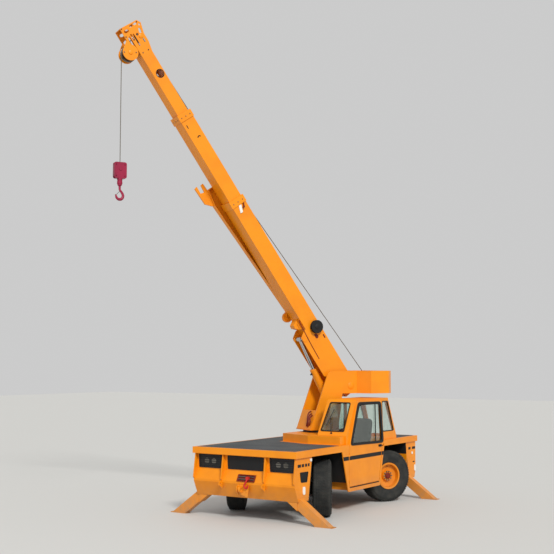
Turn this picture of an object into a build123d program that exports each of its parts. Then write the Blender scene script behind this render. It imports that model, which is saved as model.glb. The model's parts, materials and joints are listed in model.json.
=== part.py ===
from build123d import *
import os
from math import asin, atan2, cos, degrees, hypot, radians, sin

# A carry-deck mobile crane: a flat four-wheel-steered chassis with a cab on its left,
# a turret that slews all round and a three-section boom with a hook block.
# Millimetres. While it is drawn, the floor is z = 0, +X is the machine's left, -Y its front,
# and x = y = 0 is halfway along the chassis. At the end everything moves so that the origin
# is on the floor under the middle of the whole machine.

# ---- driving dimensions ----
chassis_width = 2440
front_y = -2530
rear_y = 2690
deck_z = 1360                 # top of the carrying deck
rail_depth = 125              # depth of the deck's edge rail
rail_width = 35
plate = 20                    # body panels
sill_z = 420                  # underside of the body
gap = 0.3                     # seat clearance of pins, rings and glass

# wheels and axles
front_axle_y = -1250
rear_axle_y = 1560
tyre_r = 555
tyre_width = 360
rim_r = 265
flange_r = 285
kingpin_x = 870
wheel_offset = 130            # from the kingpin out to the wheel's middle plane
front_steer = 29              # degrees to the machine's left, as parked
rear_steer = -28              # degrees to the machine's right, as parked
spindle_r = 62
boss_r = 65
boss_height = 240
kingpin_r = 30

# cab
cab_inset = 40                # from the chassis side in to the cab's outer wall
cab_width = 680
cab_outer_x = chassis_width / 2 - cab_inset
cab_inner_x = cab_outer_x - cab_width
cab_front_y = -560
cab_floor_z = 760
cab_roof_z = 2260
cab_wall = 30
sill_line_z = 1620            # bottom of the windscreen opening

# turret and boom
slew_x = -50
slew_y = 411
slew_angle = 29.4             # boom turned to the machine's right of straight ahead
ring_r = 360
ring_height = 50
platform_z = 1530             # top of the raised platform under the turret
turret_half = 310
turret_plate = 30
turret_floor = 30
pivot_u = -638                # boom hinge, ahead of the slew axis
pivot_z = 2520
boom_angle = 55.2
pivot_r = 45
foot_u = -250                 # lift cylinder's lower pin
foot_z = 2134
lift_s = 1450                 # lift cylinder's upper pin, along the boom from its hinge
lift_t = -320                 # and below the boom's middle line
foot_r = 35
lift_barrel_r = 85
lift_rod_r = 45
lift_barrel_length = 840
weight_z = 2355               # underside of the counterweight
weight_height = 490

# boom sections: width, height, wall, tail and head along the boom from the hinge
base_width = 393
base_height = 353
base_tail = -170
base_head = 4805
mid_width = 349
mid_height = 321
mid_tail = 1920
mid_head = 6885
tip_width = 290
tip_height = 264
tip_tail = 3430
tip_head = 8330
collar = 160
collar_rise = 15
boom_wall = 10
slide_gap = 0.5               # between a section and the collar it slides in
sheave_pin_r = 30

# hook block and ropes
rope_r = 8
rope_length = 2250
block_height = 330
hook_drop = 350               # hook's middle below the block

# outriggers
outrigger_angle = 36          # below the horizontal
outrigger_depth = 190
outrigger_width = 150
outrigger_y = 2300            # front pair at minus this, rear pair at plus this
outrigger_reach = chassis_width / 2 + 475   # foot's middle, out from the centre line
outrigger_length = 1300

half_width = chassis_width / 2
rail_z = deck_z - rail_depth
under_deck = deck_z - plate


# ---- planes that the machine is built on ----
def forward(angle):
    """The level direction this many degrees to the machine's left of straight ahead."""
    return Vector(sin(radians(angle)), -cos(radians(angle)), 0)


ahead = forward(-slew_angle)
left = Vector(-ahead.Y, ahead.X, 0)
turret_top = Plane(origin=(slew_x, slew_y, 0), x_dir=ahead, z_dir=(0, 0, 1))


def turret_side(v=0):
    """Upright plane along the turret, v to its left: x ahead of the slew axis, y up."""
    return Plane(origin=Vector(slew_x, slew_y, 0) + left * v, x_dir=ahead, z_dir=left * -1)


hinge = Vector(slew_x, slew_y, pivot_z) + ahead * pivot_u
along = ahead * cos(radians(boom_angle)) + Vector(0, 0, sin(radians(boom_angle)))


def boom_side(v=0):
    """Plane along the boom, v to its left: x along the boom from its hinge, y square to it."""
    return Plane(origin=hinge + left * v, x_dir=along, z_dir=left * -1)


def boom_cross(s):
    """Plane square to the boom, s from its hinge: x to the boom's left, y to its upper side."""
    return Plane(origin=hinge + along * s, x_dir=left, z_dir=along)


def face(points, mode=Mode.ADD):
    """Fills a closed outline through these points, inside an open sketch."""
    Polygon(*points, align=None, mode=mode)


# ---- chassis: frame, bearing, body and deck ----
frame_half = 445              # outside of the two deep frame plates
frame_plate = 30
axle_half = 80                # half the depth of an axle beam
axle_pad = 25
frame_z = tyre_r + axle_half + axle_pad
sleeve_wall = 16
sleeve_gap = 0.5
sleeve_side = outrigger_width / 2 + sleeve_gap + sleeve_wall
frame_end_y = outrigger_y - sleeve_side - plate
tub_z = under_deck - 300

with BuildPart() as chassis_frame:
    with BuildSketch(Plane.XY.offset(frame_z)):
        for x in (frame_plate / 2 - frame_half, frame_half - frame_plate / 2):
            with Locations((x, 0)):
                Rectangle(frame_plate, 2 * frame_end_y)
        for y in (front_axle_y - 300, front_axle_y + 300, slew_y - 200, slew_y + 200,
                  rear_axle_y - 300, rear_axle_y + 300):
            with Locations((0, y)):
                Rectangle(2 * frame_half - frame_plate, frame_plate)
    extrude(amount=under_deck - frame_z)
    with BuildSketch(Plane.XY.offset(tub_z)):
        with Locations((slew_x, slew_y)):
            Circle(ring_r)
            Circle(ring_r - 60, mode=Mode.SUBTRACT)
    extrude(amount=platform_z - tub_z)

with BuildPart() as slew_bearing:
    with BuildSketch(Plane.XY.offset(platform_z)):
        with Locations((slew_x, slew_y)):
            Circle(ring_r - 20)
            Circle(ring_r - 120, mode=Mode.SUBTRACT)
    extrude(amount=ring_height - gap)

# the deck is a plate with a rail all round; the cab and the turntable tub stand through it
cab_rear_y = 1700
cab_roof_rear_y = 1300
cab_low_rear_y = 1000
door_front_y = -510
door_rear_y = 1020
door_gap = 10
with BuildPart() as deck:
    with BuildSketch(Plane.XY.offset(rail_z)):
        with Locations((0, (front_y + rear_y) / 2)):
            Rectangle(chassis_width, rear_y - front_y)
            Rectangle(chassis_width - 2 * rail_width, rear_y - front_y - 2 * rail_width, mode=Mode.SUBTRACT)
    extrude(amount=rail_depth)
    with BuildSketch(Plane.XY.offset(deck_z - plate)):
        with Locations((0, (front_y + rear_y) / 2)):
            Rectangle(chassis_width - rail_width, rear_y - front_y - rail_width)
    extrude(amount=plate)
    with BuildSketch(Plane.XY.offset(rail_z - 1)):
        face([
            (cab_inner_x - gap, cab_front_y - gap),
            (cab_outer_x + gap, cab_front_y - gap),
            (cab_outer_x + gap, door_front_y - door_gap),
            (half_width + 1, door_front_y - door_gap),
            (half_width + 1, door_rear_y + door_gap),
            (cab_outer_x + gap, door_rear_y + door_gap),
            (cab_outer_x + gap, cab_low_rear_y + gap),
            (cab_inner_x - gap, cab_low_rear_y + gap),
        ])
        with Locations((slew_x, slew_y)):
            Circle(ring_r + gap)
    extrude(amount=rail_depth + 2, mode=Mode.SUBTRACT)

# the raised platform in front of the cab and round the turntable tub
platform_left_x = cab_outer_x - 40
platform_front_y = -750
platform_corner = (cab_inner_x - 120, platform_front_y)
platform_right = (-440, -420)
platform_rear_y = 1150
platform_outline = [
    (platform_left_x, platform_front_y),
    platform_corner,
    platform_right,
    (platform_right[0], platform_rear_y),
    (cab_inner_x - gap, platform_rear_y),
    (cab_inner_x - gap, cab_front_y - gap),
    (platform_left_x, cab_front_y - gap),
]
with BuildPart() as platform:
    with BuildSketch(Plane.XY.offset(deck_z)):
        face(platform_outline)
        with Locations((slew_x, slew_y)):
            Circle(ring_r + gap, mode=Mode.SUBTRACT)
    extrude(amount=platform_z - deck_z)

# non-slip plates lie on the deck, inside a bare margin
tread = 4
margin = 70
with BuildPart() as tread_plates:
    with BuildSketch(Plane.XY.offset(deck_z)):
        face([
            (half_width - margin, front_y + margin),
            (margin - half_width, front_y + margin),
            (margin - half_width, cab_rear_y),
            (platform_right[0] - margin, cab_rear_y),
            (platform_right[0] - margin, platform_right[1] - margin),
            (platform_corner[0] - margin / 2, platform_front_y - margin),
            (half_width - margin, platform_front_y - margin),
        ])
        with Locations((0, (cab_rear_y + margin + rear_y - margin) / 2)):
            Rectangle(chassis_width - 2 * margin, rear_y - cab_rear_y - 2 * margin)
    extrude(amount=tread)

# outriggers: slanted beams that slide in sleeves inside the two end boxes
slope = radians(outrigger_angle)
sleeve_top_x = half_width - 620
sleeve_mouth_x = half_width - 70
beam_top_x = outrigger_reach - outrigger_length * cos(slope)
foot_plate = 15
toe = 60


def beam_z(x, offset):
    """Height of a line along a beam, offset square to it from its middle line, x out."""
    return (outrigger_reach - x) * sin(slope) / cos(slope) + offset / cos(slope)


def strip(side, x0, x1, offset):
    """Corners of a stretch of beam between two distances from the centre line."""
    return [(side * x, beam_z(x, up)) for x, up in ((x0, -offset), (x0, offset), (x1, offset), (x1, -offset))]


def beam_x(z, offset):
    """How far out a line along a beam is at this height."""
    return outrigger_reach + offset / sin(slope) - z * cos(slope) / sin(slope)


# side profiles, y then z, of the end boxes that carry them
body_x = half_width - rail_width
fascia_y = -2430              # recessed face behind the lamp guards
fascia_foot_z = 930           # where the recess turns out to the ledge
ledge_z = 740
ledge_drop = 40
bumper_back_y = -2400
front_box_back = -2040
front_profile = [
    (fascia_y, under_deck),
    (fascia_y, fascia_foot_z),
    (front_y, ledge_z),
    (front_y, ledge_z - ledge_drop),
    (bumper_back_y, sill_z),
    (front_box_back, sill_z),
    (front_box_back + 150, under_deck),
]
tail_y = rear_y - rail_width
tail_knee_z = 620
rear_box_front = 2300
rear_profile = [
    (tail_y, under_deck),
    (tail_y, tail_knee_z),
    (tail_y - 60, sill_z),
    (rear_box_front, sill_z),
    (rear_box_front - 150, under_deck),
]


def end_box(profile, inward, y):
    """An end box: a bent skin, two side plates, a back wall and two outrigger sleeves."""
    half_y = outrigger_width / 2 + sleeve_gap
    half_depth = outrigger_depth / 2 + sleeve_gap
    with BuildPart() as box:
        with BuildSketch(Plane.YZ):
            face(profile)
        extrude(amount=body_x, both=True)
        with BuildSketch(Plane.YZ):
            face([(a + inward * plate, b) for a, b in profile])
            face([(a + inward * 200, b) for a, b in profile])
            face([(a + inward * plate, b - 30) for a, b in profile])
        extrude(amount=body_x - plate, both=True, mode=Mode.SUBTRACT)
        with BuildSketch(Plane.XZ.offset(-y - inward * sleeve_side)):
            with Locations((0, (sill_z + under_deck) / 2)):
                Rectangle(2 * body_x, under_deck - sill_z)
        extrude(amount=-inward * plate)
        for side in (-1, 1):
            with BuildSketch(Plane.XZ.offset(-y)):
                face(strip(side, sleeve_top_x, sleeve_mouth_x, half_depth + sleeve_wall))
            extrude(amount=sleeve_side, both=True)
            with BuildSketch(Plane.XZ.offset(-y)):
                face(strip(side, sleeve_top_x - 100, body_x + 200, half_depth))
            extrude(amount=half_y, both=True, mode=Mode.SUBTRACT)
    return box


rear_box = end_box(rear_profile, -1, outrigger_y)


def outrigger(side, y):
    """One outrigger beam with its foot, cut level at the floor."""
    half = outrigger_depth / 2
    with BuildPart() as beam:
        with BuildSketch(Plane.XZ.offset(-y)):
            face([
                (side * beam_top_x, beam_z(beam_top_x, -half)),
                (side * beam_top_x, beam_z(beam_top_x, half)),
                (side * beam_x(foot_plate, half), foot_plate),
                (side * (beam_x(foot_plate, half) + toe), foot_plate),
                (side * (beam_x(foot_plate, half) + toe), 0),
                (side * beam_x(foot_plate, -half), 0),
                (side * beam_x(foot_plate, -half), foot_plate),
            ])
        extrude(amount=outrigger_width / 2, both=True)
    return beam


outrigger_places = {
    "outrigger_front_left": (1, -outrigger_y),
    "outrigger_front_right": (-1, -outrigger_y),
    "outrigger_rear_left": (1, outrigger_y),
    "outrigger_rear_right": (-1, outrigger_y),
}
outriggers = {name: outrigger(side, y) for name, (side, y) in outrigger_places.items()}

# ribs stand in the fascia's recess, and tow lugs hang in front of the bumper under two of them
rib = 24
rib_x = 500
rib_profile = [
    (fascia_y, rail_z - gap),
    (fascia_y, fascia_foot_z),
    (front_y, ledge_z),
    (front_y - 30, ledge_z + 30),
    (fascia_y - 60, rail_z - gap),
]
lug_reach = 90
lug_hole_r = 22
lug_hole_y = front_y - 50
lug_hole_z = ledge_z - ledge_drop - 25
lug_profile = [
    (front_y, ledge_z),
    (front_y - lug_reach, ledge_z - ledge_drop),
    (front_y - lug_reach, lug_hole_z - 20),
    (front_y, ledge_z - ledge_drop - 110),
    (front_y + 20, ledge_z - ledge_drop - 110),
    (front_y + 20, ledge_z),
]
shell = end_box(front_profile, 1, -outrigger_y)
with BuildPart() as front_box:
    add(shell.part)
    for x in (-body_x, -rib_x - rib / 2, rib_x - rib / 2, body_x - rib):
        with BuildSketch(Plane.YZ.offset(x)):
            face(rib_profile)
        extrude(amount=rib)
    for x in (-rib_x - rib / 2, rib_x - rib / 2):
        with BuildSketch(Plane.YZ.offset(x)):
            face(lug_profile)
            with Locations((lug_hole_y, lug_hole_z)):
                Circle(lug_hole_r, mode=Mode.SUBTRACT)
        extrude(amount=rib)

# side panels between the arches; the left one has the door's opening
side_panel_profile = [
    (-790, rail_z),
    (-550, sill_z),
    (820, sill_z),
    (1040, rail_z),
]
door_bottom_z = 520
door_profile = [
    (door_front_y, door_bottom_z),
    (door_front_y, rail_z + 40),
    (-140, 2235),
    (930, 2225),
    (door_rear_y, 1300),
    (930, rail_z),
    (780, door_bottom_z),
]
with BuildPart() as left_panel:
    with BuildSketch(Plane.YZ.offset(half_width - plate)):
        face(side_panel_profile)
        face([
            (door_front_y - door_gap, door_bottom_z - door_gap),
            (door_front_y - door_gap, rail_z + 1),
            (930 + 2 * door_gap, rail_z + 1),
            (780 + 2 * door_gap, door_bottom_z - door_gap),
        ], Mode.SUBTRACT)
    extrude(amount=plate)
with BuildPart() as right_panel:
    with BuildSketch(Plane.YZ.offset(-half_width)):
        face(side_panel_profile)
    extrude(amount=plate)

tank_z = 440
tank_x = cab_outer_x - door_gap
tank_y = 120
tank_length = 1160
with BuildPart() as fuel_tank:
    with BuildSketch(Plane.XY.offset(tank_z)):
        with Locations(((frame_half + tank_x) / 2, tank_y)):
            Rectangle(tank_x - frame_half - 2 * gap, tank_length)
    extrude(amount=cab_floor_z - tank_z - gap)

# the right side holds the engine, open above and below inside its panel
engine_z = 620
engine_y = 150
engine_length = 900
engine_head_gap = 60
with BuildPart() as engine:
    with BuildSketch(Plane.XY.offset(engine_z)):
        with Locations((-(frame_half + half_width - plate) / 2, engine_y)):
            Rectangle(half_width - plate - frame_half - 2 * gap, engine_length)
    extrude(amount=rail_z - engine_z - engine_head_gap)

# ---- cab ----
roof_front_y = -110
pillar_y = -150
quarter_z = 1420
cab_foot_rear_y = 690         # the low rear wall slants clear of the rear tyre
cab_profile = [
    (cab_front_y, cab_floor_z),
    (cab_front_y, 1540),
    (pillar_y, cab_roof_z - 40),
    (roof_front_y, cab_roof_z),
    (cab_roof_rear_y, cab_roof_z),
    (cab_rear_y, quarter_z),
    (cab_rear_y, deck_z),
    (cab_low_rear_y, deck_z),
    (cab_foot_rear_y, cab_floor_z),
]
window_profile = [(-400, 1380), (-90, 2180), (870, 2165), (970, 1345)]
quarter_profile = [(1040, 1540), (1020, 2190), (1290, 2190), (1570, 1540)]
inner_profiles = [
    [(-430, 1600), (-130, 2190), (560, 2190), (560, 1600)],
    [(640, 1600), (640, 2190), (1270, 2190), (1540, 1600)],
]
with BuildPart() as cab_shell:
    with BuildSketch(Plane.YZ.offset(cab_inner_x)):
        face(cab_profile)
    extrude(amount=cab_outer_x - cab_inner_x)
    with BuildSketch(Plane.YZ.offset(cab_inner_x + cab_wall)) as inside:
        face(cab_profile)
        offset(amount=-cab_wall, kind=Kind.INTERSECTION, mode=Mode.REPLACE)
    extrude(amount=cab_outer_x - cab_inner_x - 2 * cab_wall, mode=Mode.SUBTRACT)
    # windscreen and rear window
    with BuildSketch(Plane.XZ.offset(-cab_front_y + 60)):
        face([(cab_inner_x + 50, sill_line_z), (cab_inner_x + 90, 2190), (cab_outer_x - 110, 2190),
              (cab_outer_x - 80, sill_line_z)])
    extrude(amount=-700, mode=Mode.SUBTRACT)
    with BuildSketch(Plane.XZ.offset(-cab_rear_y - 60)):
        face([(cab_inner_x + 70, 1450), (cab_inner_x + 90, 2190), (cab_outer_x - 90, 2190),
              (cab_outer_x - 70, 1450)])
    extrude(amount=500, mode=Mode.SUBTRACT)
    # door opening, and the quarter window behind it
    with BuildSketch(Plane.YZ.offset(cab_outer_x - cab_wall - 1)):
        face([(-480, cab_floor_z + 40), (-480, 1330), (-125, 2190), (900, 2180), (965, 1400),
              (900, 1290), (640, cab_floor_z + 40)])
        face(quarter_profile)
    extrude(amount=cab_wall + 2, mode=Mode.SUBTRACT)
    # inner side windows
    with BuildSketch(Plane.YZ.offset(cab_inner_x - 1)):
        for profile in inner_profiles:
            face(profile)
    extrude(amount=cab_wall + 2, mode=Mode.SUBTRACT)

door_thickness = 40
hinge_in = 5                  # the door's hinge line, in from the chassis side
hinge_r = 9
hinge_length = 110
door_x = cab_outer_x + gap
with BuildPart() as cab_door:
    with BuildSketch(Plane.YZ.offset(door_x)):
        face(door_profile)
        face(window_profile, Mode.SUBTRACT)
    extrude(amount=door_thickness - gap)
    for z in (640, 1050):
        with BuildSketch(Plane.XY.offset(z)):
            with Locations((half_width - hinge_in, door_front_y)):
                Circle(hinge_r)
        extrude(amount=hinge_length)
glass = 6
with BuildPart() as door_glass:
    with BuildSketch(Plane.YZ.offset(door_x + door_thickness / 2)):
        face(window_profile)
        offset(amount=-gap, mode=Mode.REPLACE)
    extrude(amount=glass)
# the windscreen leans back with the cab's front, half way through its wall
lean = Vector(0, pillar_y - cab_front_y, cab_roof_z - 40 - 1540)
screen_normal = Vector(0, -lean.Z, lean.Y).normalized()
screen = Plane(origin=Vector(0, cab_front_y, 1540) - screen_normal * (cab_wall / 2),
               x_dir=(1, 0, 0), z_dir=screen_normal)


def up_screen(z):
    """Distance up the windscreen's plane at this height."""
    return (z - screen.origin.Z) * lean.length / lean.Z


with BuildPart() as cab_glass:
    with BuildSketch(Plane.YZ.offset(cab_inner_x + cab_wall / 2)):
        for profile in inner_profiles:
            face(profile)
        offset(amount=-gap, mode=Mode.REPLACE)
    extrude(amount=glass)
    with BuildSketch(Plane.YZ.offset(cab_outer_x - cab_wall / 2)):
        face(quarter_profile)
        offset(amount=-gap, mode=Mode.REPLACE)
    extrude(amount=glass)
    with BuildSketch(screen):
        face([(cab_inner_x + 50 + 1, up_screen(sill_line_z) + 10), (cab_inner_x + 90 + 1, up_screen(2190) - 10),
              (cab_outer_x - 110 - 1, up_screen(2190) - 10), (cab_outer_x - 80 - 1, up_screen(sill_line_z) + 10)])
    extrude(amount=glass)

seat_x = cab_outer_x - 330
seat_y = 425
seat_width = 460
seat_rise = 330
seat_z = cab_floor_z + cab_wall + seat_rise
with BuildPart() as seat:
    with BuildSketch(Plane.XY.offset(cab_floor_z + cab_wall + gap)):
        with Locations((seat_x, seat_y + 60)):
            Rectangle(300, 310)
    extrude(amount=seat_rise)
    with BuildSketch(Plane.XY.offset(seat_z)):
        with Locations((seat_x, seat_y)):
            Rectangle(seat_width, 450)
    extrude(amount=110)
    with BuildSketch(Plane.YZ.offset(seat_x - seat_width / 2 + 10)):
        face([(seat_y + 175, seat_z + 100), (seat_y + 265, seat_z + 100),
              (seat_y + 425, seat_z + 730), (seat_y + 365, seat_z + 740)])
    extrude(amount=seat_width - 20)

column_foot_r = 70
column_foot_height = 40
column_r = 28
column_reach = 480            # the column leans this far back
column_rise = 700
wheel_r = 190
wheel_rim = 25
column_foot = Vector(seat_x, cab_front_y + 140, cab_floor_z + cab_wall + 30)
column_top = column_foot + Vector(0, column_reach, column_rise)
column_dir = (column_top - column_foot).normalized()
with BuildPart() as steering_column:
    with BuildSketch(Plane(origin=(column_foot.X, column_foot.Y, cab_floor_z + cab_wall + gap))):
        Circle(column_foot_r)
    extrude(amount=column_foot_height)
    with BuildSketch(Plane(origin=column_foot, z_dir=column_dir)):
        Circle(column_r)
    extrude(amount=(column_top - column_foot).length)
    with BuildSketch(Plane(origin=column_top, z_dir=column_dir)):
        Circle(column_r + 22)
    extrude(amount=20)
    with BuildSketch(Plane(origin=column_top, z_dir=column_dir)):
        Circle(wheel_r)
        Circle(wheel_r - wheel_rim, mode=Mode.SUBTRACT)
    extrude(amount=wheel_rim - 1)
    with BuildSketch(Plane(origin=column_top, z_dir=column_dir)):
        for turn in (90, 210, 330):
            with PolarLocations(wheel_r - 80, 1, start_angle=turn):
                Rectangle(wheel_r - 50, 30)
    extrude(amount=14)

# ---- axles, knuckles and wheels ----
yoke_out = 60
yoke_web_x = 740
arm_z = boss_height / 2 + 5
arm = 40


def axle(y):
    """A driven steering axle: beam, differential bulb, and a yoke at each end."""
    with BuildPart() as beam:
        with Locations((0, y, tyre_r)):
            Box(2 * (yoke_web_x + 20), 140, 2 * axle_half)
        with BuildSketch(Plane.XZ.offset(-y)):
            with Locations((0, tyre_r)):
                Circle(170)
        extrude(amount=150, both=True)
        for side in (-1, 1):
            with Locations((side * (yoke_web_x + 20), y, tyre_r)):
                Box(40, 120, 2 * (arm_z + arm))
            for up in (-1, 1):
                middle = (yoke_web_x + kingpin_x + yoke_out) / 2
                with Locations((side * middle, y, tyre_r + up * (arm_z + arm / 2))):
                    Box(kingpin_x + yoke_out - yoke_web_x, 120, arm)
            with BuildSketch(Plane.XY.offset(tyre_r - arm_z - arm - 1)):
                with Locations((side * kingpin_x, y)):
                    Circle(kingpin_r + gap)
            extrude(amount=2 * (arm_z + arm) + 2, mode=Mode.SUBTRACT)
            with Locations((side * (frame_half - 60), y, tyre_r + axle_half + axle_pad / 2)):
                Box(110, 140, axle_pad)
    return beam


front_axle = axle(front_axle_y)
rear_axle = axle(rear_axle_y)


def outward(side, steer):
    """Direction of a wheel's axle, out of the machine, at this steering angle to the left."""
    return Vector(cos(radians(steer)), sin(radians(steer)), 0) * side


def knuckle(side, y, steer):
    """Kingpin boss, kingpin ends and spindle."""
    out = outward(side, steer)
    king = Vector(side * kingpin_x, y, tyre_r)
    with BuildPart() as swivel:
        with BuildSketch(Plane(origin=king - Vector(0, 0, boss_height / 2))):
            Circle(boss_r)
        extrude(amount=boss_height)
        with BuildSketch(Plane(origin=king - Vector(0, 0, arm_z + arm))):
            Circle(kingpin_r)
        extrude(amount=2 * (arm_z + arm))
        with BuildSketch(Plane(origin=king, z_dir=out)):
            Circle(spindle_r)
        extrude(amount=wheel_offset + 10)
    return swivel


def wheel_section(side, y, steer):
    """Plane across a wheel: x along its axle, outwards, y square to it."""
    out = outward(side, steer)
    return Plane(origin=Vector(side * kingpin_x, y, tyre_r) + out * wheel_offset,
                 x_dir=out, z_dir=Vector(0, 0, 1))


rim_half = 165
seat_half = 150
rim_profile = [
    (-rim_half, rim_r - 20), (-rim_half, flange_r), (-seat_half, flange_r), (-seat_half, rim_r - gap),
    (seat_half, rim_r - gap), (seat_half, flange_r), (rim_half, flange_r), (rim_half, rim_r - 17),
    (75, rim_r - 30), (60, 125), (110, 110), (110, 0), (20, 0), (20, spindle_r + gap),
    (-60, spindle_r + gap), (-60, 95), (30, 105), (50, rim_r - 40),
]
tyre_half = tyre_width / 2
tyre_profile = [
    (-seat_half + 2, rim_r), (-seat_half + 2, flange_r + 6), (-tyre_half, 430), (-tyre_half + 12, 510),
    (-tyre_half + 45, tyre_r), (tyre_half - 45, tyre_r), (tyre_half - 12, 510), (tyre_half, 430),
    (seat_half - 2, flange_r + 6), (seat_half - 2, rim_r),
]


def turned(section, profile):
    """A ring turned about a wheel's axle from half of its section."""
    with BuildPart() as ring:
        with BuildSketch(section):
            face(profile)
        revolve(axis=Axis(section.origin, section.x_dir))
    return ring


wheel_places = {
    "front_left": (1, front_axle_y, front_steer),
    "front_right": (-1, front_axle_y, front_steer),
    "rear_left": (1, rear_axle_y, rear_steer),
    "rear_right": (-1, rear_axle_y, rear_steer),
}
wheel_parts = {}
for corner, place in wheel_places.items():
    wheel_parts["knuckle_" + corner] = knuckle(*place)
    wheel_parts["rim_" + corner] = turned(wheel_section(*place), rim_profile)
    wheel_parts["tyre_" + corner] = turned(wheel_section(*place), tyre_profile)

# ---- turret ----
floor_top_z = platform_z + ring_height + turret_floor
front_low_u = 385
front_high_u = -57
turret_high_z = 2840
tail_u = -1350
neck_u = -330                 # back of the turret's column at its foot
neck_high_u = -400
turret_outline = [
    (front_low_u, platform_z + ring_height),
    (front_high_u, turret_high_z - 60),
    (front_high_u - 70, turret_high_z),
    (tail_u, turret_high_z),
    (tail_u, weight_z),
    (neck_high_u - 20, weight_z),
    (neck_high_u, weight_z - 200),
    (neck_u, platform_z + ring_height + 160),
    (neck_u, platform_z + ring_height),
]
tail_floor_u = -900           # the boom's heel swings ahead of the tail's floor
front_plate_z = 2000          # top of the sloped front plate; the lift cylinder passes over it
pivot_hole_r = pivot_r + gap
with BuildPart() as turret:
    for v in (turret_half, turret_plate - turret_half):
        with BuildSketch(turret_side(v)):
            face(turret_outline)
        extrude(amount=turret_plate)
    with BuildSketch(turret_top.offset(platform_z + ring_height)):
        with Locations(((front_low_u + neck_u) / 2, 0)):
            Rectangle(front_low_u - neck_u, 2 * turret_half)
    extrude(amount=turret_floor)
    with BuildSketch(turret_side()):
        front_drop = (front_low_u - front_high_u) / (turret_high_z - 60 - platform_z - ring_height)
        front_top_u = front_low_u - (front_plate_z - platform_z - ring_height) * front_drop
        face([(front_low_u, platform_z + ring_height), (front_top_u, front_plate_z),
              (front_top_u - plate, front_plate_z), (front_low_u - plate - 1, platform_z + ring_height)])
        face([(neck_u, platform_z + ring_height), (neck_u + plate, platform_z + ring_height),
              (neck_u + plate, platform_z + ring_height + 160), (neck_high_u + plate, weight_z - 200),
              (neck_high_u, weight_z - 200), (neck_u, platform_z + ring_height + 160)])
        with Locations(((tail_u + tail_floor_u) / 2, weight_z + plate / 2)):
            Rectangle(tail_floor_u - tail_u, plate)
    extrude(amount=turret_half - turret_plate / 2, both=True)
    # bosses carry the boom's pin and the lift cylinder's pin
    with BuildSketch(turret_side()):
        with Locations((pivot_u, pivot_z)):
            Circle(pivot_r + 45)
    extrude(amount=turret_half, both=True)
    with BuildSketch(turret_side()):
        with Locations((foot_u, foot_z)):
            Circle(foot_r + 25)
    extrude(amount=turret_half, both=True)
    with BuildSketch(turret_side()):
        with Locations((pivot_u, pivot_z)):
            Circle(pivot_r + 100)
    extrude(amount=base_width / 2 + gap, both=True, mode=Mode.SUBTRACT)
    with BuildSketch(turret_side()):
        with Locations((foot_u, foot_z)):
            Circle(foot_r + 100)
    extrude(amount=lift_barrel_r + gap, both=True, mode=Mode.SUBTRACT)
    with BuildSketch(turret_side()):
        with Locations((pivot_u, pivot_z)):
            Circle(pivot_hole_r)
        with Locations((foot_u, foot_z)):
            Circle(foot_r + gap)
    extrude(amount=turret_half + 1, both=True, mode=Mode.SUBTRACT)

with BuildPart() as turret_pins:
    with BuildSketch(turret_side()):
        with Locations((pivot_u, pivot_z)):
            Circle(pivot_r)
        with Locations((foot_u, foot_z)):
            Circle(foot_r)
    extrude(amount=turret_half, both=True)

weight_front_u = -795
weight_facet_u = -978
weight_back_u = -1587
weight_half = 600
weight_corner = 150
with BuildPart() as counterweight:
    with BuildSketch(turret_top.offset(weight_z)):
        half_plan = [
            (weight_front_u, turret_half + gap),
            (weight_facet_u, weight_half),
            (weight_back_u + weight_corner, weight_half),
            (weight_back_u, weight_half - weight_corner),
        ]
        face(half_plan + [(u, -v) for u, v in reversed(half_plan)])
        with Locations(((weight_front_u + tail_u) / 2 + 20, 0)):
            Rectangle(weight_front_u - tail_u + 40 + 2 * gap, 2 * (turret_half + gap), mode=Mode.SUBTRACT)
    extrude(amount=weight_height)

drum_u = -1120
drum_z = 2600
drum_r = 120
drum_flange_r = 190
drum_half = 200
drum_flange = 15
with BuildPart() as winch:
    with BuildSketch(turret_side()):
        with Locations((drum_u, drum_z)):
            Circle(drum_r)
    extrude(amount=drum_half, both=True)
    for v in (drum_half, drum_flange - drum_half):
        with BuildSketch(turret_side(v)):
            with Locations((drum_u, drum_z)):
                Circle(drum_flange_r)
        extrude(amount=drum_flange)
    with BuildSketch(turret_side()):
        with Locations((drum_u, drum_z)):
            Circle(60)
    extrude(amount=turret_half - turret_plate - gap, both=True)

# ---- boom ----


def box_section(width, height, tail, head, next_width, next_height):
    """A hollow section whose collar guides the next one out."""
    with BuildPart() as section:
        with BuildSketch(boom_cross(tail)):
            Rectangle(width, height)
        extrude(amount=head - tail)
        with BuildSketch(boom_cross(head - collar)):
            Rectangle(width + 2 * collar_rise, height + 2 * collar_rise)
        extrude(amount=collar)
        with BuildSketch(boom_cross(tail - 1)):
            Rectangle(width - 2 * boom_wall, height - 2 * boom_wall)
        extrude(amount=head - tail + 1 - collar, mode=Mode.SUBTRACT)
        with BuildSketch(boom_cross(head + 1)):
            Rectangle(next_width + 2 * slide_gap, next_height + 2 * slide_gap)
        extrude(amount=-collar - 2, mode=Mode.SUBTRACT)
    return section


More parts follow.
